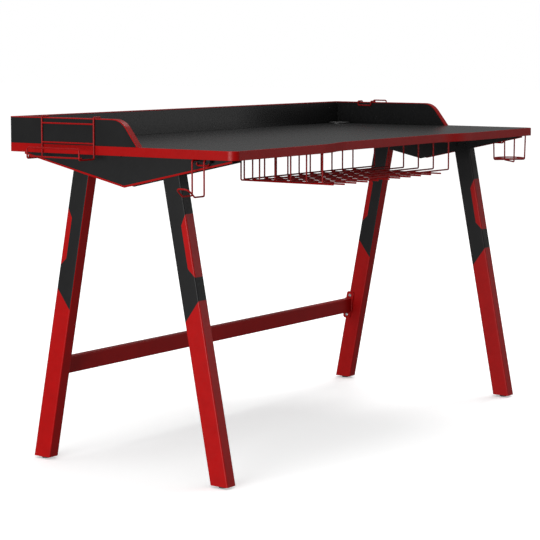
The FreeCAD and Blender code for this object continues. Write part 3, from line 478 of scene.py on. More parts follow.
def thread(radius, depth, pitch, start, end):
    """Zigzag edge of a shank, as (radius, height). Turned, it gives grooves that stand for a thread."""
    turns = max(1, round((end - start) / pitch))
    step = (end - start) / turns
    edge = []
    for i in range(turns):
        edge.append((radius - depth, start + step * i))
        edge.append((radius, start + step * (i + 0.5)))
    return edge


def finished(name, shape, *finishes):
    """Turns a worked shape into a mesh: doubles merged, stray edges removed, faces outward."""
    bmesh.ops.remove_doubles(shape, verts=shape.verts, dist=MERGE)
    strays = [edge for edge in shape.edges if not edge.link_faces]
    bmesh.ops.delete(shape, geom=strays, context="EDGES")
    bmesh.ops.recalc_face_normals(shape, faces=shape.faces)
    mesh = bpy.data.meshes.new(name)
    shape.to_mesh(mesh)
    shape.free()
    for finish in finishes:
        mesh.materials.append(finish)
    return mesh


def plain_copy(thing):
    """The evaluated mesh of an object, which is then removed."""
    evaluated = thing.evaluated_get(bpy.context.evaluated_depsgraph_get())
    mesh = bpy.data.meshes.new_from_object(evaluated)
    bpy.data.objects.remove(thing)
    return mesh


def stand_in(name, mesh):
    """A helper object that carries a mesh while it is worked on."""
    thing = bpy.data.objects.new(name, mesh)
    bpy.context.scene.collection.objects.link(thing)
    return thing


def recessed(name, body, cutter):
    """A body with a cutter's shape taken out of it."""
    work = stand_in(name + "_body", body)
    tool = stand_in(name + "_tool", cutter)
    cut = work.modifiers.new("recess", "BOOLEAN")
    cut.operation = "DIFFERENCE"
    cut.solver = "EXACT"
    cut.object = tool
    mesh = plain_copy(work)
    bpy.data.objects.remove(tool)
    return mesh


def settle(name, mesh, body, slot, *nodes):
    """Puts a finished mesh in the scene as a piece that rides on a body and stands for CAD nodes."""
    mesh.shade_smooth()
    mesh.set_sharp_from_angle(angle=SHARP_EDGE)
    helper = stand_in(name + "_work", mesh)
    helper.modifiers.new("flat faces", "WEIGHTED_NORMAL").keep_sharp = True
    piece = bpy.data.objects.new(name, plain_copy(helper))
    piece.data.name = name
    bpy.context.scene.collection.objects.link(piece)
    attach(piece, body)
    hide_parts(*nodes)
    return piece


# Node trees

def add_node(tree, kind, inputs=None, **settings):
    """Adds a node, sets its settings, and links or sets its inputs."""
    made = tree.nodes.new(kind)
    for key, value in settings.items():
        setattr(made, key, value)
    for socket, value in (inputs or {}).items():
        if isinstance(value, bpy.types.NodeSocket):
            tree.links.new(value, made.inputs[socket])
        else:
            made.inputs[socket].default_value = value
    return made


def new_tree(name, inputs):
    """A Geometry Nodes tree with named inputs, its input node and a function that ends it."""
    tree = bpy.data.node_groups.new(name, "GeometryNodeTree")
    tree.interface.new_socket("Geometry", in_out="INPUT", socket_type="NodeSocketGeometry")
    for label, kind in inputs:
        tree.interface.new_socket(label, in_out="INPUT", socket_type=kind)
    tree.interface.new_socket("Finish", in_out="INPUT", socket_type="NodeSocketMaterial")
    tree.interface.new_socket("Geometry", in_out="OUTPUT", socket_type="NodeSocketGeometry")
    given = add_node(tree, "NodeGroupInput").outputs

    def close(geometry):
        real = add_node(tree, "GeometryNodeRealizeInstances", {"Geometry": geometry})
        coated = add_node(
            tree,
            "GeometryNodeSetMaterial",
            {"Geometry": real.outputs["Geometry"], "Material": given["Finish"]},
        )
        add_node(tree, "NodeGroupOutput", {"Geometry": coated.outputs["Geometry"]})
        return tree

    return tree, given, close


def wire_tree():
    """Bends wires along routes of edges and sets a bead on each welded point."""
    name = "bent_wires"
    if name in bpy.data.node_groups:
        return bpy.data.node_groups[name]
    tree, given, close = new_tree(
        name,
        [
            ("Wire Radius", "NodeSocketFloat"),
            ("Wire Sides", "NodeSocketInt"),
            ("Bend Steps", "NodeSocketInt"),
            ("Weld Radius", "NodeSocketFloat"),
        ],
    )
    lines = add_node(tree, "GeometryNodeMeshToCurve", {"Mesh": given["Geometry"]})
    bend = add_node(tree, "GeometryNodeInputNamedAttribute", {"Name": "bend"}, data_type="FLOAT")
    bent = add_node(
        tree,
        "GeometryNodeFilletCurve",
        {"Curve": lines.outputs["Curve"], "Count": given["Bend Steps"], "Radius": bend.outputs["Attribute"]},
        mode="POLY",
    )
    section = add_node(
        tree,
        "GeometryNodeCurvePrimitiveCircle",
        {"Resolution": given["Wire Sides"], "Radius": given["Wire Radius"]},
    )
    drawn = add_node(
        tree,
        "GeometryNodeCurveToMesh",
        {"Curve": bent.outputs["Curve"], "Profile Curve": section.outputs["Curve"], "Fill Caps": True},
    )
    weld = add_node(tree, "GeometryNodeInputNamedAttribute", {"Name": "weld"}, data_type="BOOLEAN")
    bead = add_node(
        tree, "GeometryNodeMeshIcoSphere", {"Radius": given["Weld Radius"], "Subdivisions": BEAD_STEPS}
    )
    beads = add_node(
        tree,
        "GeometryNodeInstanceOnPoints",
        {
            "Points": given["Geometry"],
            "Selection": weld.outputs["Attribute"],
            "Instance": bead.outputs["Mesh"],
        },
    )
    joined = add_node(tree, "GeometryNodeJoinGeometry", {"Geometry": drawn.outputs["Mesh"]})
    tree.links.new(beads.outputs["Instances"], joined.inputs["Geometry"])
    return close(joined.outputs["Geometry"])


def copies_tree():
    """Sets a copy of a template on each point, turned as the point says."""
    name = "placed_copies"
    if name in bpy.data.node_groups:
        return bpy.data.node_groups[name]
    tree, given, close = new_tree(name, [("Template", "NodeSocketObject")])
    template = add_node(tree, "GeometryNodeObjectInfo", {"Object": given["Template"]})
    turn = add_node(tree, "GeometryNodeInputNamedAttribute", {"Name": "turn"}, data_type="FLOAT_VECTOR")
    rotation = add_node(tree, "FunctionNodeEulerToRotation", {"Euler": turn.outputs["Attribute"]})
    placed = add_node(
        tree,
        "GeometryNodeInstanceOnPoints",
        {
            "Points": given["Geometry"],
            "Instance": template.outputs["Geometry"],
            "Rotation": rotation.outputs["Rotation"],
        },
    )
    return close(placed.outputs["Instances"])


def ribs_tree():
    """Sets upright grip ribs round a rim."""
    name = "rim_ribs"
    if name in bpy.data.node_groups:
        return bpy.data.node_groups[name]
    tree, given, close = new_tree(
        name,
        [
            ("Ribs", "NodeSocketInt"),
            ("Rim Radius", "NodeSocketFloat"),
            ("Rib Radius", "NodeSocketFloat"),
            ("Rib Height", "NodeSocketFloat"),
        ],
    )
    rim = add_node(tree, "GeometryNodeMeshCircle", {"Vertices": given["Ribs"], "Radius": given["Rim Radius"]})
    rib = add_node(
        tree,
        "GeometryNodeMeshCylinder",
        {"Vertices": RIB_SIDES, "Radius": given["Rib Radius"], "Depth": given["Rib Height"]},
    )
    ribs = add_node(
        tree, "GeometryNodeInstanceOnPoints", {"Points": rim.outputs["Mesh"], "Instance": rib.outputs["Mesh"]}
    )
    return close(ribs.outputs["Instances"])


def grown(name, source, tree, inputs):
    """Runs a Geometry Nodes tree on a source mesh and gives the result as a plain mesh."""
    carrier = stand_in(name + "_source", source)
    modifier = carrier.modifiers.new("grow", "NODES")
    modifier.node_group = tree
    for item in tree.interface.items_tree:
        if item.in_out == "INPUT" and item.name in inputs:
            modifier[item.identifier] = inputs[item.name]
    return plain_copy(carrier)


def bent_wires(name, sizes, routes, welds, finish, radius=None):
    """Wires along routes of (points, bends, closed), with beads at the welded points and rounded tips."""
    places = []
    bends = []
    edges = []
    for points, radii, closed in routes:
        start = len(places)
        places += points
        bends += radii
        edges += pairs(list(range(start, len(places))), closed)
    source = bpy.data.meshes.new(name + "_routes")
    source.from_pydata(places + welds, edges, [])
    bend = source.attributes.new("bend", "FLOAT", "POINT")
    bend.data.foreach_set("value", bends + [0.0] * len(welds))
    weld = source.attributes.new("weld", "BOOLEAN", "POINT")
    weld.data.foreach_set("value", [False] * len(places) + [True] * len(welds))
    radius = radius or sizes.radius
    mesh = grown(
        name,
        source,
        wire_tree(),
        {
            "Wire Radius": radius,
            "Wire Sides": sizes.sides,
            "Bend Steps": sizes.bend_steps,
            "Weld Radius": sizes.weld_radius,
            "Finish": finish,
        },
    )
    shape = bmesh.new()
    shape.from_mesh(mesh)
    tips = [face for face in shape.faces if len(face.verts) == sizes.sides]
    eased(shape, tips, radius * sizes.tip_share, TIP_STEPS)
    return finished(name, shape, finish)


def placed_copies(name, template, places, turns, finish):
    """Copies of a template mesh at places, each turned by its own angles about X, Y and Z."""
    source = bpy.data.meshes.new(name + "_places")
    source.from_pydata(places, [], [])
    turn = source.attributes.new("turn", "FLOAT_VECTOR", "POINT")
    turn.data.foreach_set("vector", [value for angles in turns for value in angles])
    model = stand_in(name + "_template", template)
    mesh = grown(name, source, copies_tree(), {"Template": model, "Finish": finish})
    bpy.data.objects.remove(model)
    return mesh


# Finishes

def new_finish(name, **sockets):
    """A material with a Principled shader, its even values set on the shader itself."""
    material = bpy.data.materials.new(name)
    material.use_nodes = True
    shader = material.node_tree.nodes["Principled BSDF"]
    for socket, value in sockets.items():
        shader.inputs[socket.replace("_", " ")].default_value = value
    return material, material.node_tree, shader


def noise(tree, size, detail=2.0, stretch=(1.0, 1.0, 1.0)):
    """Cloudy grain of a size in metres, fixed to the piece."""
    place = add_node(tree, "ShaderNodeTexCoord").outputs["Object"]
    mapped = add_node(tree, "ShaderNodeMapping", {"Vector": place, "Scale": stretch})
    made = add_node(
        tree,
        "ShaderNodeTexNoise",
        {"Vector": mapped.outputs["Vector"], "Scale": 1 / size, "Detail": detail},
    )
    return made.outputs["Fac"]


def pebbles(tree, size):
    """Small rounded cells of a size in metres, fixed to the piece."""
    place = add_node(tree, "ShaderNodeTexCoord").outputs["Object"]
    cells = add_node(tree, "ShaderNodeTexVoronoi", {"Vector": place, "Scale": 1 / size}, feature="SMOOTH_F1")
    return cells.outputs["Distance"]


def tinted(tree, shader, amount, base, darker, lighter):
    """Lets the colour wander between a darker and a lighter share of its base."""
    ramp = add_node(tree, "ShaderNodeValToRGB", {"Fac": amount})
    ends = ramp.color_ramp.elements
    ends[0].position = NOISE_LOW
    ends[1].position = NOISE_HIGH
    ends[0].color = [value * darker for value in base[:3]] + [1.0]
    ends[1].color = [min(1.0, value * lighter) for value in base[:3]] + [1.0]
    tree.links.new(ramp.outputs["Color"], shader.inputs["Base Color"])


def rubbed(tree, shader, amount, low, high):
    """Lets the roughness wander between two values."""
    spread = add_node(
        tree,
        "ShaderNodeMapRange",
        {"Value": amount, "From Min": NOISE_LOW, "From Max": NOISE_HIGH, "To Min": low, "To Max": high},
    )
    tree.links.new(spread.outputs["Result"], shader.inputs["Roughness"])


def raised(tree, shader, amount, strength, depth):
    """Gives the surface a fine relief."""
    bump = add_node(tree, "ShaderNodeBump", {"Height": amount, "Strength": strength, "Distance": depth})
    tree.links.new(bump.outputs["Normal"], shader.inputs["Normal"])


def black_laminate(name, colours):
    """Dark laminate with a faint grain along the desk."""
    material, tree, shader = new_finish(name, Specular_IOR_Level=0.17)
    grain = noise(tree, size=0.05, detail=6.0, stretch=(0.25, 1.0, 1.0))
    tinted(tree, shader, grain, colours.laminate, darker=0.9, lighter=1.12)
    rubbed(tree, shader, noise(tree, size=0.04, detail=3.0), low=0.27, high=0.277)
    raised(tree, shader, pebbles(tree, size=0.0009), strength=0.01, depth=0.0001)
    return material


def red_edging(name, colours):
    """Satin plastic edging."""
    material, tree, shader = new_finish(name, Specular_IOR_Level=0.12)
    tinted(tree, shader, noise(tree, size=0.04, detail=3.0), colours.edging, darker=0.95, lighter=1.05)
    rubbed(tree, shader, noise(tree, size=0.008, detail=3.0), low=0.34, high=0.42)
    raised(tree, shader, noise(tree, size=0.0008), strength=0.06, depth=0.0001)
    return material


def powder_coat(name, base, gloss, smooth, dull):
    """Baked powder coat with its orange-peel relief."""
    material, tree, shader = new_finish(name, Specular_IOR_Level=gloss)
    tinted(tree, shader, noise(tree, size=0.03, detail=4.0), base, darker=0.94, lighter=1.06)
    rubbed(tree, shader, noise(tree, size=0.006, detail=3.0), low=smooth, high=dull)
    raised(tree, shader, noise(tree, size=0.0013, detail=1.0), strength=0.15, depth=0.00015)
    return material


def red_powder(name, colours):
    """Red coat of legs and stretcher."""
    return powder_coat(name, colours.red_coat, gloss=0.15, smooth=0.36, dull=0.44)


def black_powder(name, colours):
    """Black coat of frames, clips, clamps and screws."""
    return powder_coat(name, colours.black_coat, gloss=0.14, smooth=0.42, dull=0.5)


def wire_powder(name, colours):
    """Red coat of the wires."""
    return powder_coat(name, colours.wire_coat, gloss=0.12, smooth=0.34, dull=0.42)


def bright_zinc(name, colours):
    """Zinc plating with its crystals."""
    material, tree, shader = new_finish(name, Metallic=1.0)
    tinted(tree, shader, pebbles(tree, size=0.0015), colours.zinc, darker=0.85, lighter=1.1)
    rubbed(tree, shader, noise(tree, size=0.002, detail=3.0), low=0.22, high=0.38)
    raised(tree, shader, noise(tree, size=0.0006), strength=0.08, depth=0.00005)
    return material


def moulded_black(name, colours):
    """Moulded plastic with a fine pebble."""
    material, tree, shader = new_finish(name, Specular_IOR_Level=0.5)
    tinted(tree, shader, noise(tree, size=0.01, detail=3.0), colours.plastic, darker=0.92, lighter=1.1)
    rubbed(tree, shader, noise(tree, size=0.004, detail=3.0), low=0.4, high=0.52)
    raised(tree, shader, pebbles(tree, size=0.0005), strength=0.15, depth=0.00006)
    return material


def foot_rubber(name, colours):
    """Dull rubbery plastic of the feet."""
    material, tree, shader = new_finish(name, Specular_IOR_Level=0.35)
    tinted(tree, shader, noise(tree, size=0.005, detail=4.0), colours.rubber, darker=0.85, lighter=1.25)
    rubbed(tree, shader, noise(tree, size=0.003, detail=3.0), low=0.7, high=0.85)
    raised(tree, shader, noise(tree, size=0.0006, detail=3.0), strength=0.25, depth=0.00008)
    return material


FINISHES = {
    "black_laminate": black_laminate,
    "red_edging": red_edging,
    "red_powder": red_powder,
    "black_powder": black_powder,
    "wire_powder": wire_powder,
    "bright_zinc": bright_zinc,
    "moulded_black": moulded_black,
    "foot_rubber": foot_rubber,
}


def finish_named(name):
    """A finish by name, mixed when it is first asked for."""
    ready = bpy.data.materials.get(name)
    return ready or FINISHES[name](name, bpy.context.scene.desk_colours)


# Putting pieces in the scene

def make_piece(name, shape, finish, body, slot, node):
    """Finishes a worked shape and puts it in the scene as a piece."""
    settle(name, finished(name, shape, finish_named(finish)), body, slot, node)


def make_wires(name, sizes, routes, welds, body, node):
    """Bends wires along routes and puts them in the scene as a piece."""
    mesh = bent_wires(name, sizes, routes, welds, finish_named("wire_powder"))
    settle(name, mesh, body, "red_wire", node)


# Desktop and panels

def top_outline(sizes, inset, height):
    """The desktop seen from above, moved in by an inset, at a height."""
    side = (top_high.x - top_low.x) / 2 - inset
    rear = (top_high.y - top_low.y) / 2 - inset
    slant = math.hypot(sizes.recess_run, sizes.recess_depth)
    slip = inset * (slant - sizes.recess_run) / sizes.recess_depth
    outer = sizes.recess_centre + sizes.recess_run / 2 + slip
    inner = sizes.recess_centre - sizes.recess_run / 2 + slip
    arc = sizes.recess_arc_share * slant / 2 * sizes.recess_depth / (slant - sizes.recess_run)
    recess = sizes.recess_depth - rear
    corner = sizes.corner_round - inset
    left = [
        (-side, rear, 0),
        (-side, -rear, corner),
        (-outer, -rear, arc - inset),
        (-inner, recess, arc + inset),
    ]
    right = [(-x, y, radius) for x, y, radius in left[::-1]]
    return [Vector((middle.x + x, middle.y + y, height)) for x, y in rounded(left + right)]


def make_board(sizes):
    """Laminate board with the grommet's hole."""
    ease = sizes.rim_round
    levels = ((ease, top_low.z), (0, top_low.z + ease), (0, top_high.z - ease), (ease, top_high.z))
    rims = [top_outline(sizes, band + inset, height) for inset, height in levels]
    liner_low, liner_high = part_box("grommet_liner")
    centre = (liner_low + liner_high) / 2
    radius = max(radii("grommet_liner", liner_low.z, centre)) + sizes.hole_room
    bores = [circle(radius, centre, height) for height in (top_low.z, top_high.z)]
    shape = bmesh.new()
    drilled(shape, rims, bores)
    make_piece("desktop_top", shape, "black_laminate", "desk", "laminate", "desktop_board")


def make_band(sizes):
    """Red band round the desktop."""
    section = strip_section(band, top_low.z, top_high.z, sizes.strip_round)
    shape = bmesh.new()
    edging(shape, section, lambda inset, height: top_outline(sizes, inset, height), True)
    make_piece("desktop_band", shape, "red_edging", "desk", "edging", "desktop_edge_band")


def panel_run(sizes, low, high, inset):
    """Top edge of a side panel from the rear to the foot of its slope, moved in by an inset, as (y, z)."""
    rise = high.z - low.z
    slant = math.hypot(sizes.slope_run, rise)
    foot = low.y + inset * slant / rise
    top = high.z - inset
    shoulder = foot + (rise - inset) * sizes.slope_run / rise
    radius = sizes.shoulder_round - inset
    return rounded([(high.y, low.z, 0), (high.y, top, 0), (shoulder, top, radius), (foot, low.z, 0)])[1:]


def make_side_panel(sizes, side):
    """Side panel and its red edging over the top, the shoulder and the slope."""
    low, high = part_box(f"{side}_panel_edging")

    def run(inset, x):
        return [Vector((x, y, z)) for y, z in panel_run(sizes, low, high, inset)]

    shape = bmesh.new()
    outline = [Vector((low.x, high.y, low.z))] + run(band, low.x)
    plate(shape, outline, RIGHT * (high.x - low.x), sizes.rim_round)
    make_piece(f"{side}_panel", shape, "black_laminate", "desk", "laminate", f"{side}_side_panel")
    shape = bmesh.new()
    edging(shape, strip_section(band, low.x, high.x, sizes.strip_round), run, False)
    make_piece(f"{side}_panel_strip", shape, "red_edging", "desk", "edging", f"{side}_panel_edging")


def make_rear_panel(sizes):
    """Rear panel and its red edging along the top."""
    low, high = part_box("rear_panel")
    corners = [(low.x, low.z), (high.x, low.z), (high.x, high.z), (low.x, high.z)]
    outline = [Vector((x, low.y, z)) for x, z in corners]
    shape = bmesh.new()
    plate(shape, outline, Vector((0, high.y - low.y, 0)), sizes.rim_round)
    make_piece("rear_panel_board", shape, "black_laminate", "desk", "laminate", "rear_panel")
    low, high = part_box("rear_panel_edging")
    section = strip_section(high.z - low.z, low.y, high.y, sizes.strip_round)

    def run(inset, y):
        return [Vector((x, y, high.z - inset)) for x in (low.x, high.x)]

    shape = bmesh.new()
    edging(shape, section, run, False)
    make_piece("rear_panel_strip", shape, "red_edging", "desk", "edging", "rear_panel_edging")


# Grommet

def make_liner(sizes):
    """Grommet liner with its flange and the rebate for the cap."""
    low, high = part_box("grommet_liner")
    cap_low, cap_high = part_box("grommet_cap")
    centre = (low + high) / 2
    pipe = radii("grommet_liner", low.z, centre)
    bore = min(pipe)
    wall = max(pipe)
    flange = (high.x - low.x) / 2
    rebate = (cap_high.x - cap_low.x) / 2 + sizes.rebate_gap
    ease = sizes.edge_round
    profile = rounded([
        (bore, low.z, ease),
        (wall, low.z, ease),
        (wall, top_high.z, 0),
        (flange, top_high.z, 0),
        (flange, high.z, sizes.rim_round),
        (rebate, high.z, ease),
        (rebate, cap_low.z, 0),
        (bore, cap_low.z, ease),
    ])
    shape = bmesh.new()
    turned(shape, profile, Vector((centre.x, centre.y, 0)))
    make_piece("cable_grommet", shape, "moulded_black", "desk", "black_plastic", "grommet_liner")


def make_cap(sizes):
    """Turning cap with its cable slot and dished top."""
    low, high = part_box("grommet_cap")
    centre = (low + high) / 2
    radius = (high.x - low.x) / 2
    half_slot = sizes.slot_width / 2
    gap = math.asin(half_slot / radius)
    turns = [gap + (math.tau - 2 * gap) * i / TURN_STEPS for i in range(TURN_STEPS + 1)]
    outline = [(radius * math.sin(turn), -radius * math.cos(turn)) for turn in turns]
    slot_steps = 2 * ARC_STEPS
    for i in range(slot_steps + 1):
        turn = math.pi * (1 - i / slot_steps)
        outline.append((half_slot * math.cos(turn), half_slot * math.sin(turn) - sizes.slot_centre))
    shape = bmesh.new()
    points = [Vector((centre.x + x, centre.y + y, low.z)) for x, y in outline]
    plate(shape, points, UP * (high.z - low.z), sizes.edge_round)
    top = max(
        shape.faces,
        key=lambda face: (round(face.calc_center_median().z, ORDER_DIGITS), len(face.verts)),
    )
    bmesh.ops.inset_region(shape, faces=[top], thickness=sizes.dish_inset, depth=0, use_even_offset=True)
    bmesh.ops.inset_region(shape, faces=[top], thickness=sizes.dish_depth, depth=-sizes.dish_depth)
    make_piece("cable_grommet_cap", shape, "moulded_black", "cap", "black_plastic", "grommet_cap")


# Side frames

def paint_leg(shape, leg, marks):
    """Cuts a leg's faces along the edges of its two colours and colours them: red first, black second."""
    depth = leg.across * leg.cosine

    def mark(inward, height):
        y = leg.y(height) + leg.out * (leg.across / 2 - inward / leg.cosine)
        return Vector((leg.x, y, height))

    top = (0, marks.lozenge_top)
    upper = (marks.lozenge_reach, marks.lozenge_upper)
    lower = (marks.lozenge_reach, marks.lozenge_lower)
    foot = (0, marks.lozenge_foot)
    slant = ((0, marks.slant_outer), (depth, marks.slant_inner))
    for first, second in ((top, upper), (upper, lower), (lower, foot), slant):
        start = mark(*first)
        across = RIGHT.cross(mark(*second) - start)
        everything = shape.verts[:] + shape.edges[:] + shape.faces[:]
        bmesh.ops.bisect_plane(shape, geom=everything, dist=MERGE, plane_co=start, plane_no=across)

    def is_red(face):
        place = face.calc_center_median()
        inward = (leg.across / 2 - leg.out * (place.y - leg.y(place.z))) * leg.cosine
        along = inward / marks.lozenge_reach
        under_top = marks.lozenge_top + (marks.lozenge_upper - marks.lozenge_top) * along
        over_foot = marks.lozenge_foot + (marks.lozenge_lower - marks.lozenge_foot) * along
        in_lozenge = along < 1 and over_foot < place.z < under_top
        low_part = place.z < marks.slant_outer + (marks.slant_inner - marks.slant_outer) * inward / depth
        faces_middle = -leg.out * face.normal.y > math.cos(INWARD_FACE)
        return in_lozenge or low_part or faces_middle

    for face in shape.faces:
        face.material_index = 0 if is_red(face) else 1


def leg_ring(leg, section, height):
    """A section across a leg, cut level at a height."""
    return [Vector((leg.x + x, leg.y(height) + y / leg.cosine, height)) for x, y in section]


def make_leg(sizes, marks, node):
    """Leg tube in its two colours."""
    leg = leg_line(node)

    def ring(section, height):
        return leg_ring(leg, section, height)

    shape = bmesh.new()
    depth = leg.across * leg.cosine
    square_tube(shape, ring, leg.width, depth, sizes.tube_wall, sizes.tube_corner, (leg.low, leg.high))
    bmesh.ops.recalc_face_normals(shape, faces=shape.faces)
    paint_leg(shape, leg, marks)
    mesh = finished(node + "_tube", shape, finish_named("red_powder"), finish_named("black_powder"))
    settle(node + "_tube", mesh, "desk", "leg_paint", node)


def make_plug(sizes, node, foot):
    """Plug in the lower end of a leg, with the hole for the foot's stud."""
    leg = leg_line(node)
    low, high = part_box(node + "_plug")
    foot_low, foot_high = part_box(foot)
    axis = (foot_low + foot_high) / 2
    foot_edge = [corner.y for corner in level(node + "_plug", low.z)]
    depth = (max(foot_edge) - min(foot_edge)) * leg.cosine
    bore = min(radii(node + "_plug", low.z, axis))
    corner = sizes.tube_corner - sizes.tube_wall

    def rim(shrink, height):
        section = rounded_section(high.x - low.x - shrink, depth - shrink, corner)
        return leg_ring(leg, section, height)

    ease = sizes.sheet_round
    rims = [rim(2 * ease, low.z), rim(0, low.z + ease), rim(0, high.z - ease), rim(2 * ease, high.z)]
    shape = bmesh.new()
    drilled(shape, rims, [circle(bore, axis, low.z), circle(bore, axis, high.z)])
    make_piece(node + "_insert", shape, "moulded_black", "desk", "black_plastic", node + "_plug")


def make_foot(sizes, node, leg_node):
    """Levelling foot: a ribbed disc and its grooved stud."""
    low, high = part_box(node)
    place = (low + high) / 2
    radius = (high.x - low.x) / 2 - sizes.rib_radius
    disc = leg_line(leg_node).low - low.z
    stud = max(radii(node, high.z, place))
    ease = sizes.foot_round
    body = rounded([(0, 0, 0), (radius, 0, ease), (radius, disc, ease), (stud, disc, 0)])
    profile = [tuple(point) for point in body]
    profile += thread(stud, stud * sizes.stud_groove_share, sizes.stud_pitch, disc, high.z - low.z - ease)
    profile += [(stud - ease, high.z - low.z), (0, high.z - low.z)]
    shape = bmesh.new()
    turned(shape, profile, Vector((place.x, place.y, low.z)))
    ribs = grown(
        node,
        bpy.data.meshes.new(node + "_ribs"),
        ribs_tree(),
        {
            "Ribs": sizes.foot_ribs,
            "Rim Radius": radius,
            "Rib Radius": sizes.rib_radius,
            "Rib Height": disc - 2 * ease,
            "Finish": finish_named("foot_rubber"),
        },
    )
    ribs.transform(Matrix.Translation(Vector((place.x, place.y, low.z + disc / 2))))
    shape.from_mesh(ribs)
    make_piece(node + "_disc", shape, "foot_rubber", node + "_body", "foot_rubber", node)


def end_heights(node):
    """Foot and top of the upright ends of a side frame's sheet."""
    low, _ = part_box(node)
    heights = [vert.co.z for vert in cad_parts[node].data.vertices if vert.co.y - low.y < HAIR]
    return min(heights), max(heights)


def cheek_edge(node, rise=0.0):
    """Lower edge of a side frame's V-shaped sheet, front to rear, lifted by a rise."""
    low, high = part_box(node)
    foot, _ = end_heights(node)
    turns = [(low.y, foot), ((low.y + high.y) / 2, low.z), (high.y, foot)]
    return [Vector((low.x, y, z + rise)) for y, z in turns]


def make_rail(sizes, side):
    """Top rail of a side frame."""
    low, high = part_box(f"{side}_top_rail")
    centre = (low + high) / 2

    def ring(section, y):
        return [Vector((centre.x + x, y, centre.z + z)) for x, z in section]

    shape = bmesh.new()
    rail = (high.x - low.x, high.z - low.z)
    square_tube(shape, ring, *rail, sizes.tube_wall, sizes.tube_corner, (low.y, high.y))
    make_piece(f"{side}_rail", shape, "black_powder", "desk", "black_steel", f"{side}_top_rail")


def make_cheeks(sizes, side):
    """Outer and inner cheek of a side frame."""
    for place in ("outer", "inner"):
        node = f"{side}_{place}_cheek"
        low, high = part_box(node)
        outline = cheek_edge(node) + [Vector((low.x, y, high.z)) for y in (high.y, low.y)]
        shape = bmesh.new()
        plate(shape, outline, RIGHT * (high.x - low.x), sizes.sheet_round)
        make_piece(node + "_sheet", shape, "black_powder", "desk", "black_steel", node)


def make_trim(sizes, side, sign):
    """Red trim that laps over the V edge of an outer cheek."""
    node = f"{side}_cheek_trim"
    name = f"{side}_trim"
    low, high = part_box(node)
    foot, top = end_heights(node)
    shape = bmesh.new()
    outline = cheek_edge(node) + cheek_edge(node, top - foot)[::-1]
    plate(shape, outline, RIGHT * (high.x - low.x), sizes.sheet_round)
    bar = finished(name, shape)

    # The rebate is open towards the desk's middle
    cheek_low, cheek_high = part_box(f"{side}_outer_cheek")
    front, point, rear = cheek_edge(f"{side}_outer_cheek")
    spare = high.x - low.x
    start = Vector((-spare, 0, 0)) if sign > 0 else Vector()
    reach = [corner + start for corner in (point, point + 2 * (rear - point), point + 2 * (front - point))]
    shape = bmesh.new()
    prism(shape, reach, RIGHT * (cheek_high.x - cheek_low.x + spare))
    mesh = recessed(name, bar, finished(name + "_rebate", shape))
    mesh.materials.append(finish_named("red_edging"))
    settle(name, mesh, "desk", "edging", node)


def make_stretcher(sizes, wires):
    """Stretcher tube with its flanges and the weld beads between them."""
    low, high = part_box("stretcher_tube")
    centre = (low + high) / 2
    depth = high.y - low.y
    height = high.z - low.z

    def ring(section, x):
        return [Vector((x, centre.y + y, centre.z + z)) for y, z in section]

    shape = bmesh.new()
    square_tube(shape, ring, depth, height, sizes.tube_wall, sizes.tube_corner, (low.x, high.x))
    section = rounded_section(depth, height, sizes.tube_corner)
    routes = [(ring(section, x), [0.0] * len(section), True) for x in (low.x, high.x)]
    beads = bent_wires("stretcher_beads", wires, routes, [], finish_named("red_powder"), sizes.weld_bead)
    shape.from_mesh(beads)
    make_piece("stretcher", shape, "red_powder", "desk", "red_steel", "stretcher_tube")

    for side, _ in SIDES:
        node = f"{side}_stretcher_flange"
        low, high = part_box(node)
        centre = (low + high) / 2
        slope = leg_line(f"{side}_back_leg").slope
        along = Vector((0, slope, 1)).normalized()
        across = Vector((0, 1, -slope)).normalized()
        base = Vector((low.x, centre.y, centre.z))
        section = rounded_section(sizes.flange_width, sizes.flange_length, sizes.flange_corner)
        shape = bmesh.new()
        outline = [base + across * y + along * z for y, z in section]
        plate(shape, outline, RIGHT * (high.x - low.x), sizes.sheet_round)
        make_piece(f"{side}_flange", shape, "red_powder", "desk", "red_steel", node)


# Fasteners

def fastener(name, sizes, head_radius, head, shank, pitch, reach, recess, recess_depth):
    """A screw or bolt that points up, its head's seat at the origin, with a recess in its domed head."""
    groove = shank * sizes.thread_share
    dome = rounded([(0, -head, 0), (head_radius, -head, head * sizes.dome_share), (head_radius, 0, 0)])
    profile = [tuple(point) for point in dome]
    profile += [(shank, 0)] + thread(shank, groove, pitch, pitch, reach - pitch)
    profile += [(shank - groove, reach - pitch), (0, reach)]
    shape = bmesh.new()
    turned(shape, profile, Vector(), SCREW_STEPS)
    body = finished(name, shape)
    shape = bmesh.new()
    outline = [Vector((x, y, -head - recess_depth)) for x, y in recess]
    prism(shape, outline, UP * (2 * recess_depth))
    return recessed(name, body, finished(name + "_recess", shape))


def cross_outline(sizes):
    """Outline of a cross recess."""
    tip = sizes.cross_length / 2
    flank = sizes.cross_width / 2
    arm = [(tip, -flank), (tip, flank), (flank, flank)]
    turns = [Matrix.Rotation(QUARTER * i, 2) for i in range(CROSS_ARMS)]
    return [turn @ Vector(point) for turn in turns for point in arm]


def hex_outline(sizes):
    """Outline of a hex socket."""
    turns = [math.tau * i / HEX_CORNERS for i in range(HEX_CORNERS)]
    return [Vector((math.cos(turn), math.sin(turn))) * sizes.socket_radius for turn in turns]


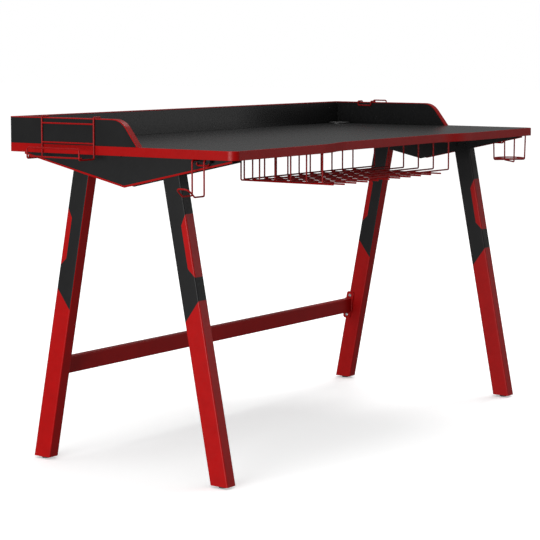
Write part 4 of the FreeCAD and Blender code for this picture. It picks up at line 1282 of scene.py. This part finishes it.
def make_screws(sizes, node):
    """Screws that point up, as long as those of the frame."""
    boxes = solids(node)
    low, high = boxes[0]
    name = node + "_set"
    template = fastener(
        name,
        sizes,
        (high.x - low.x) / 2,
        sizes.screw_head,
        sizes.screw_radius,
        sizes.screw_pitch,
        high.z - low.z - sizes.screw_head,
        cross_outline(sizes),
        sizes.cross_depth,
    )
    seats = []
    for low, high in boxes:
        seat = (low + high) / 2
        seat.z = low.z + sizes.screw_head
        seats.append(seat)
    mesh = placed_copies(name, template, seats, [(0, 0, 0)] * len(seats), finish_named("black_powder"))
    settle(name, mesh, "desk", "black_steel", node)


def make_bolts(sizes, node, finish, slot):
    """Bolts that point outward along X, as long as those of the frame."""
    boxes = solids(node)
    low, high = boxes[0]
    name = node + "_set"
    template = fastener(
        name,
        sizes,
        (high.z - low.z) / 2,
        sizes.bolt_head,
        sizes.bolt_radius,
        sizes.bolt_pitch,
        high.x - low.x - sizes.bolt_head,
        hex_outline(sizes),
        sizes.socket_depth,
    )
    seats = []
    turns = []
    for low, high in boxes:
        seat = (low + high) / 2
        out = math.copysign(1, seat.x - middle.x)
        seat.x = high.x - sizes.bolt_head if out < 0 else low.x + sizes.bolt_head
        seats.append(seat)
        turns.append((0, out * QUARTER, 0))
    mesh = placed_copies(name, template, seats, turns, finish_named(finish))
    settle(name, mesh, "desk", slot, node)


# Wire basket and holders

def even(points, bend, closed=False):
    """A route with the same bend at each of its points."""
    return points, [bend] * len(points), closed


def rod_route(low, high):
    """A straight route down the middle of a rod's box, along its longest side."""
    centre = (low + high) / 2
    spans = [high[i] - low[i] for i in range(3)]
    axis = spans.index(max(spans))
    ends = [centre.copy(), centre.copy()]
    ends[0][axis] = low[axis]
    ends[1][axis] = high[axis]
    return even(ends, 0.0)


def make_basket(sizes):
    """Basket of L-shaped long wires, U-shaped cross wires and top bars."""
    radius = sizes.radius
    long_boxes = solids("basket_long_wires")
    cross_boxes = solids("basket_cross_wires")
    bar_boxes = solids("basket_top_bars")
    routes = []
    for low, high in long_boxes:
        x = (low.x + high.x) / 2
        back = high.y - radius
        floor = low.z + radius
        points = [Vector((x, back, high.z)), Vector((x, back, floor)), Vector((x, low.y, floor))]
        routes.append(even(points, sizes.basket_bend))
    make_wires("basket_rails", sizes, routes, [], "desk", "basket_long_wires")

    routes = []
    welds = []
    half_step = radius + sizes.weld_gap / 2
    # From a cross wire's left corner to the weld between its bend and the first long wire
    corner_step = sizes.basket_bend - (sizes.basket_bend + half_step) * DIAGONAL
    for low, high in cross_boxes:
        y = (low.y + high.y) / 2
        floor = low.z + radius
        left = low.x + radius
        right = high.x - radius
        heights = (high.z, floor, floor, high.z)
        points = [Vector((x, y, z)) for x, z in zip((left, left, right, right), heights)]
        routes.append(even(points, sizes.basket_bend))
        welds.append(Vector((left + corner_step, y, floor + corner_step)))
        for long_low, long_high in long_boxes[1:]:
            welds.append(Vector(((long_low.x + long_high.x) / 2, y, floor - half_step)))
    make_wires("basket_ribs", sizes, routes, welds, "desk", "basket_cross_wires")

    welds = []
    bar_z = bar_boxes[0][0].z + radius
    for low, high in long_boxes:
        welds.append(Vector(((low.x + high.x) / 2, high.y + sizes.weld_gap / 2, bar_z)))
    for low, high in cross_boxes:
        y = (low.y + high.y) / 2
        welds.append(Vector((low.x - sizes.weld_gap / 2, y, bar_z)))
        welds.append(Vector((high.x + sizes.weld_gap / 2, y, bar_z)))
    routes = [rod_route(low, high) for low, high in bar_boxes]
    make_wires("basket_bars", sizes, routes, welds, "desk", "basket_top_bars")


def make_clips(sizes):
    """Sheet clips that hold the basket's bars under the desktop."""
    boxes = solids("basket_clips")
    width = min(min(high.x - low.x, high.y - low.y) for low, high in boxes)
    reach = max(max(high.x - low.x, high.y - low.y) for low, high in boxes)
    tall = boxes[0][1].z - boxes[0][0].z
    back = -sizes.radius - sizes.clip_lip
    pad = sizes.radius + sizes.weld_gap
    section = rounded([
        (back, 0, 0),
        (back + reach, 0, 0),
        (back + reach, tall, 0),
        (pad, tall, 0),
        (pad, sizes.clip_sheet, sizes.sheet_round),
        (back, sizes.clip_sheet, 0),
    ])
    shape = bmesh.new()
    plate(shape, [Vector((-width / 2, y, z)) for y, z in section], RIGHT * width, sizes.sheet_round)
    template = finished("basket_clip", shape)
    places = []
    turns = []
    for low, high in boxes:
        centre = (low + high) / 2
        along_x = high.x - low.x > high.y - low.y
        out = math.copysign(1, centre.x - middle.x)
        bar = Vector((centre.x, low.y - back, low.z))
        if along_x:
            bar = Vector((low.x - back if out > 0 else high.x + back, centre.y, low.z))
        places.append(bar)
        turns.append((0, 0, -out * QUARTER if along_x else 0))
    mesh = placed_copies("basket_clip_set", template, places, turns, finish_named("black_powder"))
    settle("basket_clip_set", mesh, "desk", "black_steel", "basket_clips")


def make_rack(sizes):
    """Rack hung over the left side panel."""
    radius = sizes.radius
    low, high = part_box("rack_frame")
    panel_low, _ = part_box("left_panel_edging")
    hang = radius + sizes.hang_clearance
    tail_x = high.x - radius
    upright_x = panel_low.x - hang
    lip_x = low.x + radius
    top = high.z - radius
    tray = low.z + radius

    def side(y):
        turns = [
            (tail_x, top - sizes.rack_tail),
            (tail_x, top),
            (upright_x, top),
            (upright_x, tray),
            (lip_x, tray),
            (lip_x, tray + sizes.rack_lip),
        ]
        return [Vector((x, y, z)) for x, z in turns]

    front = low.y + radius
    rear = high.y - radius
    points = side(front) + side(rear)[::-1]
    half = [0.0, hang, hang, sizes.bend, sizes.bend, sizes.bend]
    route = (points, half + half[::-1], False)
    make_wires("rack_wire", sizes, [route], [], "rack", "rack_frame")

    bars = solids("rack_bars")
    routes = [rod_route(bar_low, bar_high) for bar_low, bar_high in bars]
    welds = []
    for bar_low, bar_high in bars:
        bar = (bar_low + bar_high) / 2
        on_tray = abs(bar.x - upright_x) > radius
        for y, step in ((front, 1), (rear, -1)):
            shift = 0 if on_tray else step * radius
            drop = radius + sizes.weld_gap / 2 if on_tray else 0
            welds.append(Vector((bar.x, y + shift, bar.z - drop)))
    make_wires("rack_cross_wires", sizes, routes, welds, "rack", "rack_bars")


def make_panel_hook(sizes):
    """Hook hung over the right side panel, bent from one closed wire."""
    radius = sizes.radius
    low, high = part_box("panel_hook")
    _, panel_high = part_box("right_panel_edging")
    hang = radius + sizes.hang_clearance
    tail_x = low.x + radius
    upright_x = panel_high.x + hang
    hang_z = panel_high.z + hang

    def side(y):
        turns = [
            (tail_x, hang_z - sizes.hook_tail),
            (tail_x, hang_z),
            (upright_x, hang_z),
            (upright_x, low.z + radius),
            (high.x - radius, low.z + radius),
            (high.x - radius, high.z - radius),
        ]
        return [Vector((x, y, z)) for x, z in turns]

    points = side(low.y + radius) + side(high.y - radius)[::-1]
    half = [sizes.bend, hang, hang, sizes.bend, sizes.bend, sizes.bend]
    route = (points, half + half[::-1], True)
    make_wires("hook_wire", sizes, [route], [], "hook", "panel_hook")


def make_headset_hook(sizes):
    """Headset hook under the left overhang, bent from one closed wire."""
    radius = sizes.radius
    low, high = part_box("headset_hook")
    tail_x = high.x - radius
    upright_x = top_low.x + sizes.headset_inset
    run_z = high.z - radius
    arm_z = low.z + radius

    def side(y):
        turns = [
            (tail_x, top_low.z - sizes.headset_tail),
            (tail_x, run_z),
            (upright_x, run_z),
            (upright_x, arm_z),
            (upright_x - sizes.headset_arm, arm_z),
            (low.x + radius, arm_z + sizes.headset_rise),
        ]
        return [Vector((x, y, z)) for x, z in turns]

    points = side(low.y + radius) + side(high.y - radius)[::-1]
    half = [sizes.bend] * 5 + [sizes.headset_round]
    route = (points, half + half[::-1], True)
    make_wires("headset_wire", sizes, [route], [], "desk", "headset_hook")


def make_cup_holder(sizes):
    """Cup holder: two rings, two crossing U wires and the arm that carries them."""
    radius = sizes.radius
    rings = sorted(solids("cup_holder_rings"), key=lambda box: box[0].z)
    routes = []
    hoops = []
    for low, high in rings:
        centre = (low + high) / 2
        hoop = (high.x - low.x) / 2 - radius
        routes.append(even(circle(hoop, centre, centre.z, sizes.ring_steps), 0.0, True))
        hoops.append((hoop, centre))
    make_wires("cup_rings", sizes, routes, [], "desk", "cup_holder_rings")

    (floor_hoop, floor_centre), (top_hoop, top_centre) = hoops
    step = 2 * radius + sizes.weld_gap
    routes = []
    welds = []
    uprights = sorted(solids("cup_holder_wires"), key=lambda box: -box[0].z)
    for i, (low, _) in enumerate(uprights):
        turn = FIRST_CUP_WIRE - QUARTER * i
        spoke = Vector((math.cos(turn), math.sin(turn), 0))
        axis = Vector((top_centre.x, top_centre.y, 0))
        top = axis + UP * (top_centre.z + radius)
        floor = axis + UP * (low.z + radius)
        wide = spoke * (top_hoop + step)
        narrow = spoke * (floor_hoop + step)
        routes.append(even([top - wide, floor - narrow, floor + narrow, top + wide], sizes.bend))
        for way in (-1, 1):
            welds.append(axis + way * spoke * (top_hoop + step / 2) + UP * top_centre.z)
            welds.append(axis + way * spoke * (floor_hoop + step / 2) + UP * floor_centre.z)
    make_wires("cup_uprights", sizes, routes, welds, "desk", "cup_holder_wires")

    low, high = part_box("cup_holder_arm")
    tail_x = low.x + radius
    run_z = high.z - radius
    tail_z = low.z + radius
    front = low.y + radius
    rear = high.y - radius
    turns = [(high.x, front, run_z), (tail_x, front, run_z), (tail_x, front, tail_z)]
    turns += [(x, rear, z) for x, _, z in turns[::-1]]
    points = [Vector(turn) for turn in turns]
    ends = [points[0], points[-1]]
    make_wires("cup_arm", sizes, [even(points, sizes.bend)], ends, "desk", "cup_holder_arm")


def make_clamp(sizes, node):
    """Clamp strip under a holder's wires."""
    low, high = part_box(node)
    mid_y = (low.y + high.y) / 2
    end = (high.y - low.y) / 2
    start = end - sizes.clamp_pad
    sheet = low.z + sizes.clamp_sheet
    half = [(start, high.z, 0), (start, sheet, sizes.sheet_round)]
    mirrored = [(-y, z, radius) for y, z, radius in half[::-1]]
    corners = [(-end, low.z, 0), (end, low.z, 0), (end, high.z, 0)] + half + mirrored + [(-end, high.z, 0)]
    outline = [Vector((low.x, mid_y + y, z)) for y, z in rounded(corners)]
    shape = bmesh.new()
    plate(shape, outline, RIGHT * (high.x - low.x), sizes.sheet_round)
    make_piece(node + "_strip", shape, "black_powder", "desk", "black_steel", node)


# Stage

def on_stage(offset):
    """A place measured from the point of the floor under the desktop's middle."""
    return Vector((middle.x, middle.y, 0)) + Vector(offset)


def soft_light(stage, name):
    """A large soft light that looks at the desk."""
    lamp = bpy.data.lights.new(name + " light", "AREA")
    lamp.shape = "RECTANGLE"
    lamp.size = getattr(stage, name + "_width")
    lamp.size_y = getattr(stage, name + "_height")
    lamp.energy = getattr(stage, name + "_power")
    place = on_stage(getattr(stage, name + "_place"))
    thing = bpy.data.objects.new(name + " light", lamp)
    thing.location = place
    thing.rotation_euler = (on_stage(stage.aim) - place).to_track_quat("-Z", "Y").to_euler()
    bpy.context.scene.collection.objects.link(thing)


def overhead_light(stage):
    """An even light from above, as wide as a studio ceiling."""
    lamp = bpy.data.lights.new("top light", "SUN")
    lamp.energy = stage.top_light
    lamp.angle = stage.top_spread
    bpy.context.scene.collection.objects.link(bpy.data.objects.new("top light", lamp))


def make_floor(stage):
    """Pale glowing floor with a faint mottle."""
    half = stage.floor_size / 2
    corners = [(-half, -half), (half, -half), (half, half), (-half, half)]
    shape = bmesh.new()
    shape.faces.new([shape.verts.new((x, y, -stage.floor_drop)) for x, y in corners])
    material, tree, shader = new_finish(
        "pale_floor",
        Roughness=0.9,
        Specular_IOR_Level=0.1,
        Emission_Color=WHITE,
        Emission_Strength=stage.floor_glow,
    )
    tinted(tree, shader, noise(tree, size=2.0), [stage.floor_tone] * 3, darker=0.99, lighter=1.01)
    floor = stand_in("floor", finished("floor", shape, material))
    floor.visible_diffuse = False
    floor.visible_glossy = False


def make_sky(stage):
    """Even white light from all round, seen as plain white behind the desk."""
    world = bpy.data.worlds.new("studio")
    world.use_nodes = True
    tree = world.node_tree
    tree.nodes.clear()
    path = add_node(tree, "ShaderNodeLightPath")
    light = add_node(tree, "ShaderNodeBackground", {"Color": WHITE, "Strength": stage.sky_light})
    seen = add_node(tree, "ShaderNodeBackground", {"Color": WHITE, "Strength": 1.0})
    mixed = add_node(tree, "ShaderNodeMixShader", {"Fac": path.outputs["Is Camera Ray"]})
    tree.links.new(light.outputs["Background"], mixed.inputs[1])
    tree.links.new(seen.outputs["Background"], mixed.inputs[2])
    add_node(tree, "ShaderNodeOutputWorld", {"Surface": mixed.outputs["Shader"]})
    bpy.context.scene.world = world


def make_camera(stage):
    """Camera at the photograph's place."""
    data = bpy.data.cameras.new("camera")
    data.lens = stage.camera_lens
    data.shift_y = stage.camera_shift
    data.clip_end = stage.floor_size
    camera = bpy.data.objects.new("camera", data)
    camera.location = on_stage(stage.camera_place)
    camera.rotation_euler = (QUARTER - stage.camera_dip, 0, -stage.camera_heading)
    bpy.context.scene.collection.objects.link(camera)
    bpy.context.scene.camera = camera


# Operators

class DESK_OT_desktop(bpy.types.Operator):
    """Make the desktop board and its red band"""

    bl_idname = "desk.desktop"
    bl_label = "Desktop"

    def execute(self, context):
        sizes = context.scene.desk_boards
        make_board(sizes)
        make_band(sizes)
        return {"FINISHED"}


class DESK_OT_panels(bpy.types.Operator):
    """Make the rear and side panels with their red edging"""

    bl_idname = "desk.panels"
    bl_label = "Panels"

    def execute(self, context):
        sizes = context.scene.desk_boards
        make_rear_panel(sizes)
        for side, _ in SIDES:
            make_side_panel(sizes, side)
        return {"FINISHED"}


class DESK_OT_grommet(bpy.types.Operator):
    """Make the cable grommet and its turning cap"""

    bl_idname = "desk.grommet"
    bl_label = "Grommet"

    def execute(self, context):
        sizes = context.scene.desk_grommet
        make_liner(sizes)
        make_cap(sizes)
        return {"FINISHED"}


class DESK_OT_legs(bpy.types.Operator):
    """Make the four legs with their plugs and levelling feet"""

    bl_idname = "desk.legs"
    bl_label = "Legs and feet"

    def execute(self, context):
        sizes = context.scene.desk_frames
        marks = context.scene.desk_paint
        for side, _ in SIDES:
            for end in ENDS:
                leg = f"{side}_{end}_leg"
                foot = f"{side}_{end}_foot"
                make_leg(sizes, marks, leg)
                make_plug(sizes, leg, foot)
                make_foot(sizes, foot, leg)
        return {"FINISHED"}


class DESK_OT_side_frames(bpy.types.Operator):
    """Make the rails, cheeks and trim of the side frames"""

    bl_idname = "desk.side_frames"
    bl_label = "Side frames"

    def execute(self, context):
        sizes = context.scene.desk_frames
        for side, sign in SIDES:
            make_rail(sizes, side)
            make_cheeks(sizes, side)
            make_trim(sizes, side, sign)
        return {"FINISHED"}


class DESK_OT_stretcher(bpy.types.Operator):
    """Make the stretcher with its flanges"""

    bl_idname = "desk.stretcher"
    bl_label = "Stretcher"

    def execute(self, context):
        make_stretcher(context.scene.desk_frames, context.scene.desk_wires)
        return {"FINISHED"}


class DESK_OT_fasteners(bpy.types.Operator):
    """Make the screws and bolts"""

    bl_idname = "desk.fasteners"
    bl_label = "Screws and bolts"

    def execute(self, context):
        sizes = context.scene.desk_fasteners
        for node in ("panel_screws", "rail_screws", "basket_screws", "clamp_screws"):
            make_screws(sizes, node)
        make_bolts(sizes, "stretcher_bolts", "bright_zinc", "zinc")
        make_bolts(sizes, "leg_bolts", "black_powder", "black_steel")
        return {"FINISHED"}


class DESK_OT_basket(bpy.types.Operator):
    """Make the wire basket and its clips"""

    bl_idname = "desk.basket"
    bl_label = "Basket"

    def execute(self, context):
        make_basket(context.scene.desk_wires)
        make_clips(context.scene.desk_wires)
        return {"FINISHED"}


class DESK_OT_rack(bpy.types.Operator):
    """Make the rack that hangs on the left panel"""

    bl_idname = "desk.rack"
    bl_label = "Rack"

    def execute(self, context):
        make_rack(context.scene.desk_wires)
        return {"FINISHED"}


class DESK_OT_panel_hook(bpy.types.Operator):
    """Make the hook that hangs on the right panel"""

    bl_idname = "desk.panel_hook"
    bl_label = "Panel hook"

    def execute(self, context):
        make_panel_hook(context.scene.desk_wires)
        return {"FINISHED"}


class DESK_OT_headset_hook(bpy.types.Operator):
    """Make the headset hook and its clamp"""

    bl_idname = "desk.headset_hook"
    bl_label = "Headset hook"

    def execute(self, context):
        make_headset_hook(context.scene.desk_wires)
        make_clamp(context.scene.desk_wires, "headset_hook_clamp")
        return {"FINISHED"}


class DESK_OT_cup_holder(bpy.types.Operator):
    """Make the cup holder and its clamp"""

    bl_idname = "desk.cup_holder"
    bl_label = "Cup holder"

    def execute(self, context):
        make_cup_holder(context.scene.desk_wires)
        make_clamp(context.scene.desk_wires, "cup_holder_clamp")
        return {"FINISHED"}


class DESK_OT_stage(bpy.types.Operator):
    """Set up the floor, the lights and the camera"""

    bl_idname = "desk.stage"
    bl_label = "Stage"

    def execute(self, context):
        stage = context.scene.desk_stage
        context.scene.view_settings.view_transform = "Standard"
        make_floor(stage)
        make_sky(stage)
        for name in ("key", "front", "side"):
            soft_light(stage, name)
        overhead_light(stage)
        make_camera(stage)
        return {"FINISHED"}


class DESK_PT_build(bpy.types.Panel):
    """Lists the pieces of the desk"""

    bl_label = "Gaming desk"
    bl_idname = "DESK_PT_build"
    bl_space_type = "VIEW_3D"
    bl_region_type = "UI"
    bl_category = "Desk"

    def draw(self, context):
        for operator in OPERATORS:
            self.layout.operator(operator.bl_idname)
        for name in SETTINGS:
            settings = getattr(context.scene, name)
            box = self.layout.box()
            box.label(text=settings.__doc__)
            for key in settings.__annotations__:
                box.prop(settings, key)


OPERATORS = (
    DESK_OT_desktop,
    DESK_OT_panels,
    DESK_OT_grommet,
    DESK_OT_legs,
    DESK_OT_side_frames,
    DESK_OT_stretcher,
    DESK_OT_fasteners,
    DESK_OT_basket,
    DESK_OT_rack,
    DESK_OT_panel_hook,
    DESK_OT_headset_hook,
    DESK_OT_cup_holder,
    DESK_OT_stage,
)
SETTINGS = {
    "desk_boards": BoardSizes,
    "desk_frames": FrameSizes,
    "desk_paint": PaintMarks,
    "desk_wires": WireSizes,
    "desk_fasteners": FastenerSizes,
    "desk_grommet": GrommetSizes,
    "desk_colours": FinishColours,
    "desk_stage": StageSettings,
}


def register():
    """Adds the settings, the operators and the panel."""
    for name, group in SETTINGS.items():
        bpy.utils.register_class(group)
        setattr(bpy.types.Scene, name, bpy.props.PointerProperty(type=group))
    for operator in OPERATORS:
        bpy.utils.register_class(operator)
    bpy.utils.register_class(DESK_PT_build)


def unregister():
    """Takes away what register added."""
    bpy.utils.unregister_class(DESK_PT_build)
    for operator in OPERATORS[::-1]:
        bpy.utils.unregister_class(operator)
    for name, group in SETTINGS.items():
        delattr(bpy.types.Scene, name)
        bpy.utils.unregister_class(group)


def main():
    register()
    bpy.ops.desk.desktop()
    bpy.ops.desk.panels()
    bpy.ops.desk.grommet()
    bpy.ops.desk.legs()
    bpy.ops.desk.side_frames()
    bpy.ops.desk.stretcher()
    bpy.ops.desk.fasteners()
    bpy.ops.desk.basket()
    bpy.ops.desk.rack()
    bpy.ops.desk.panel_hook()
    bpy.ops.desk.headset_hook()
    bpy.ops.desk.cup_holder()
    bpy.ops.desk.stage()


if __name__ == "__main__":
    main()
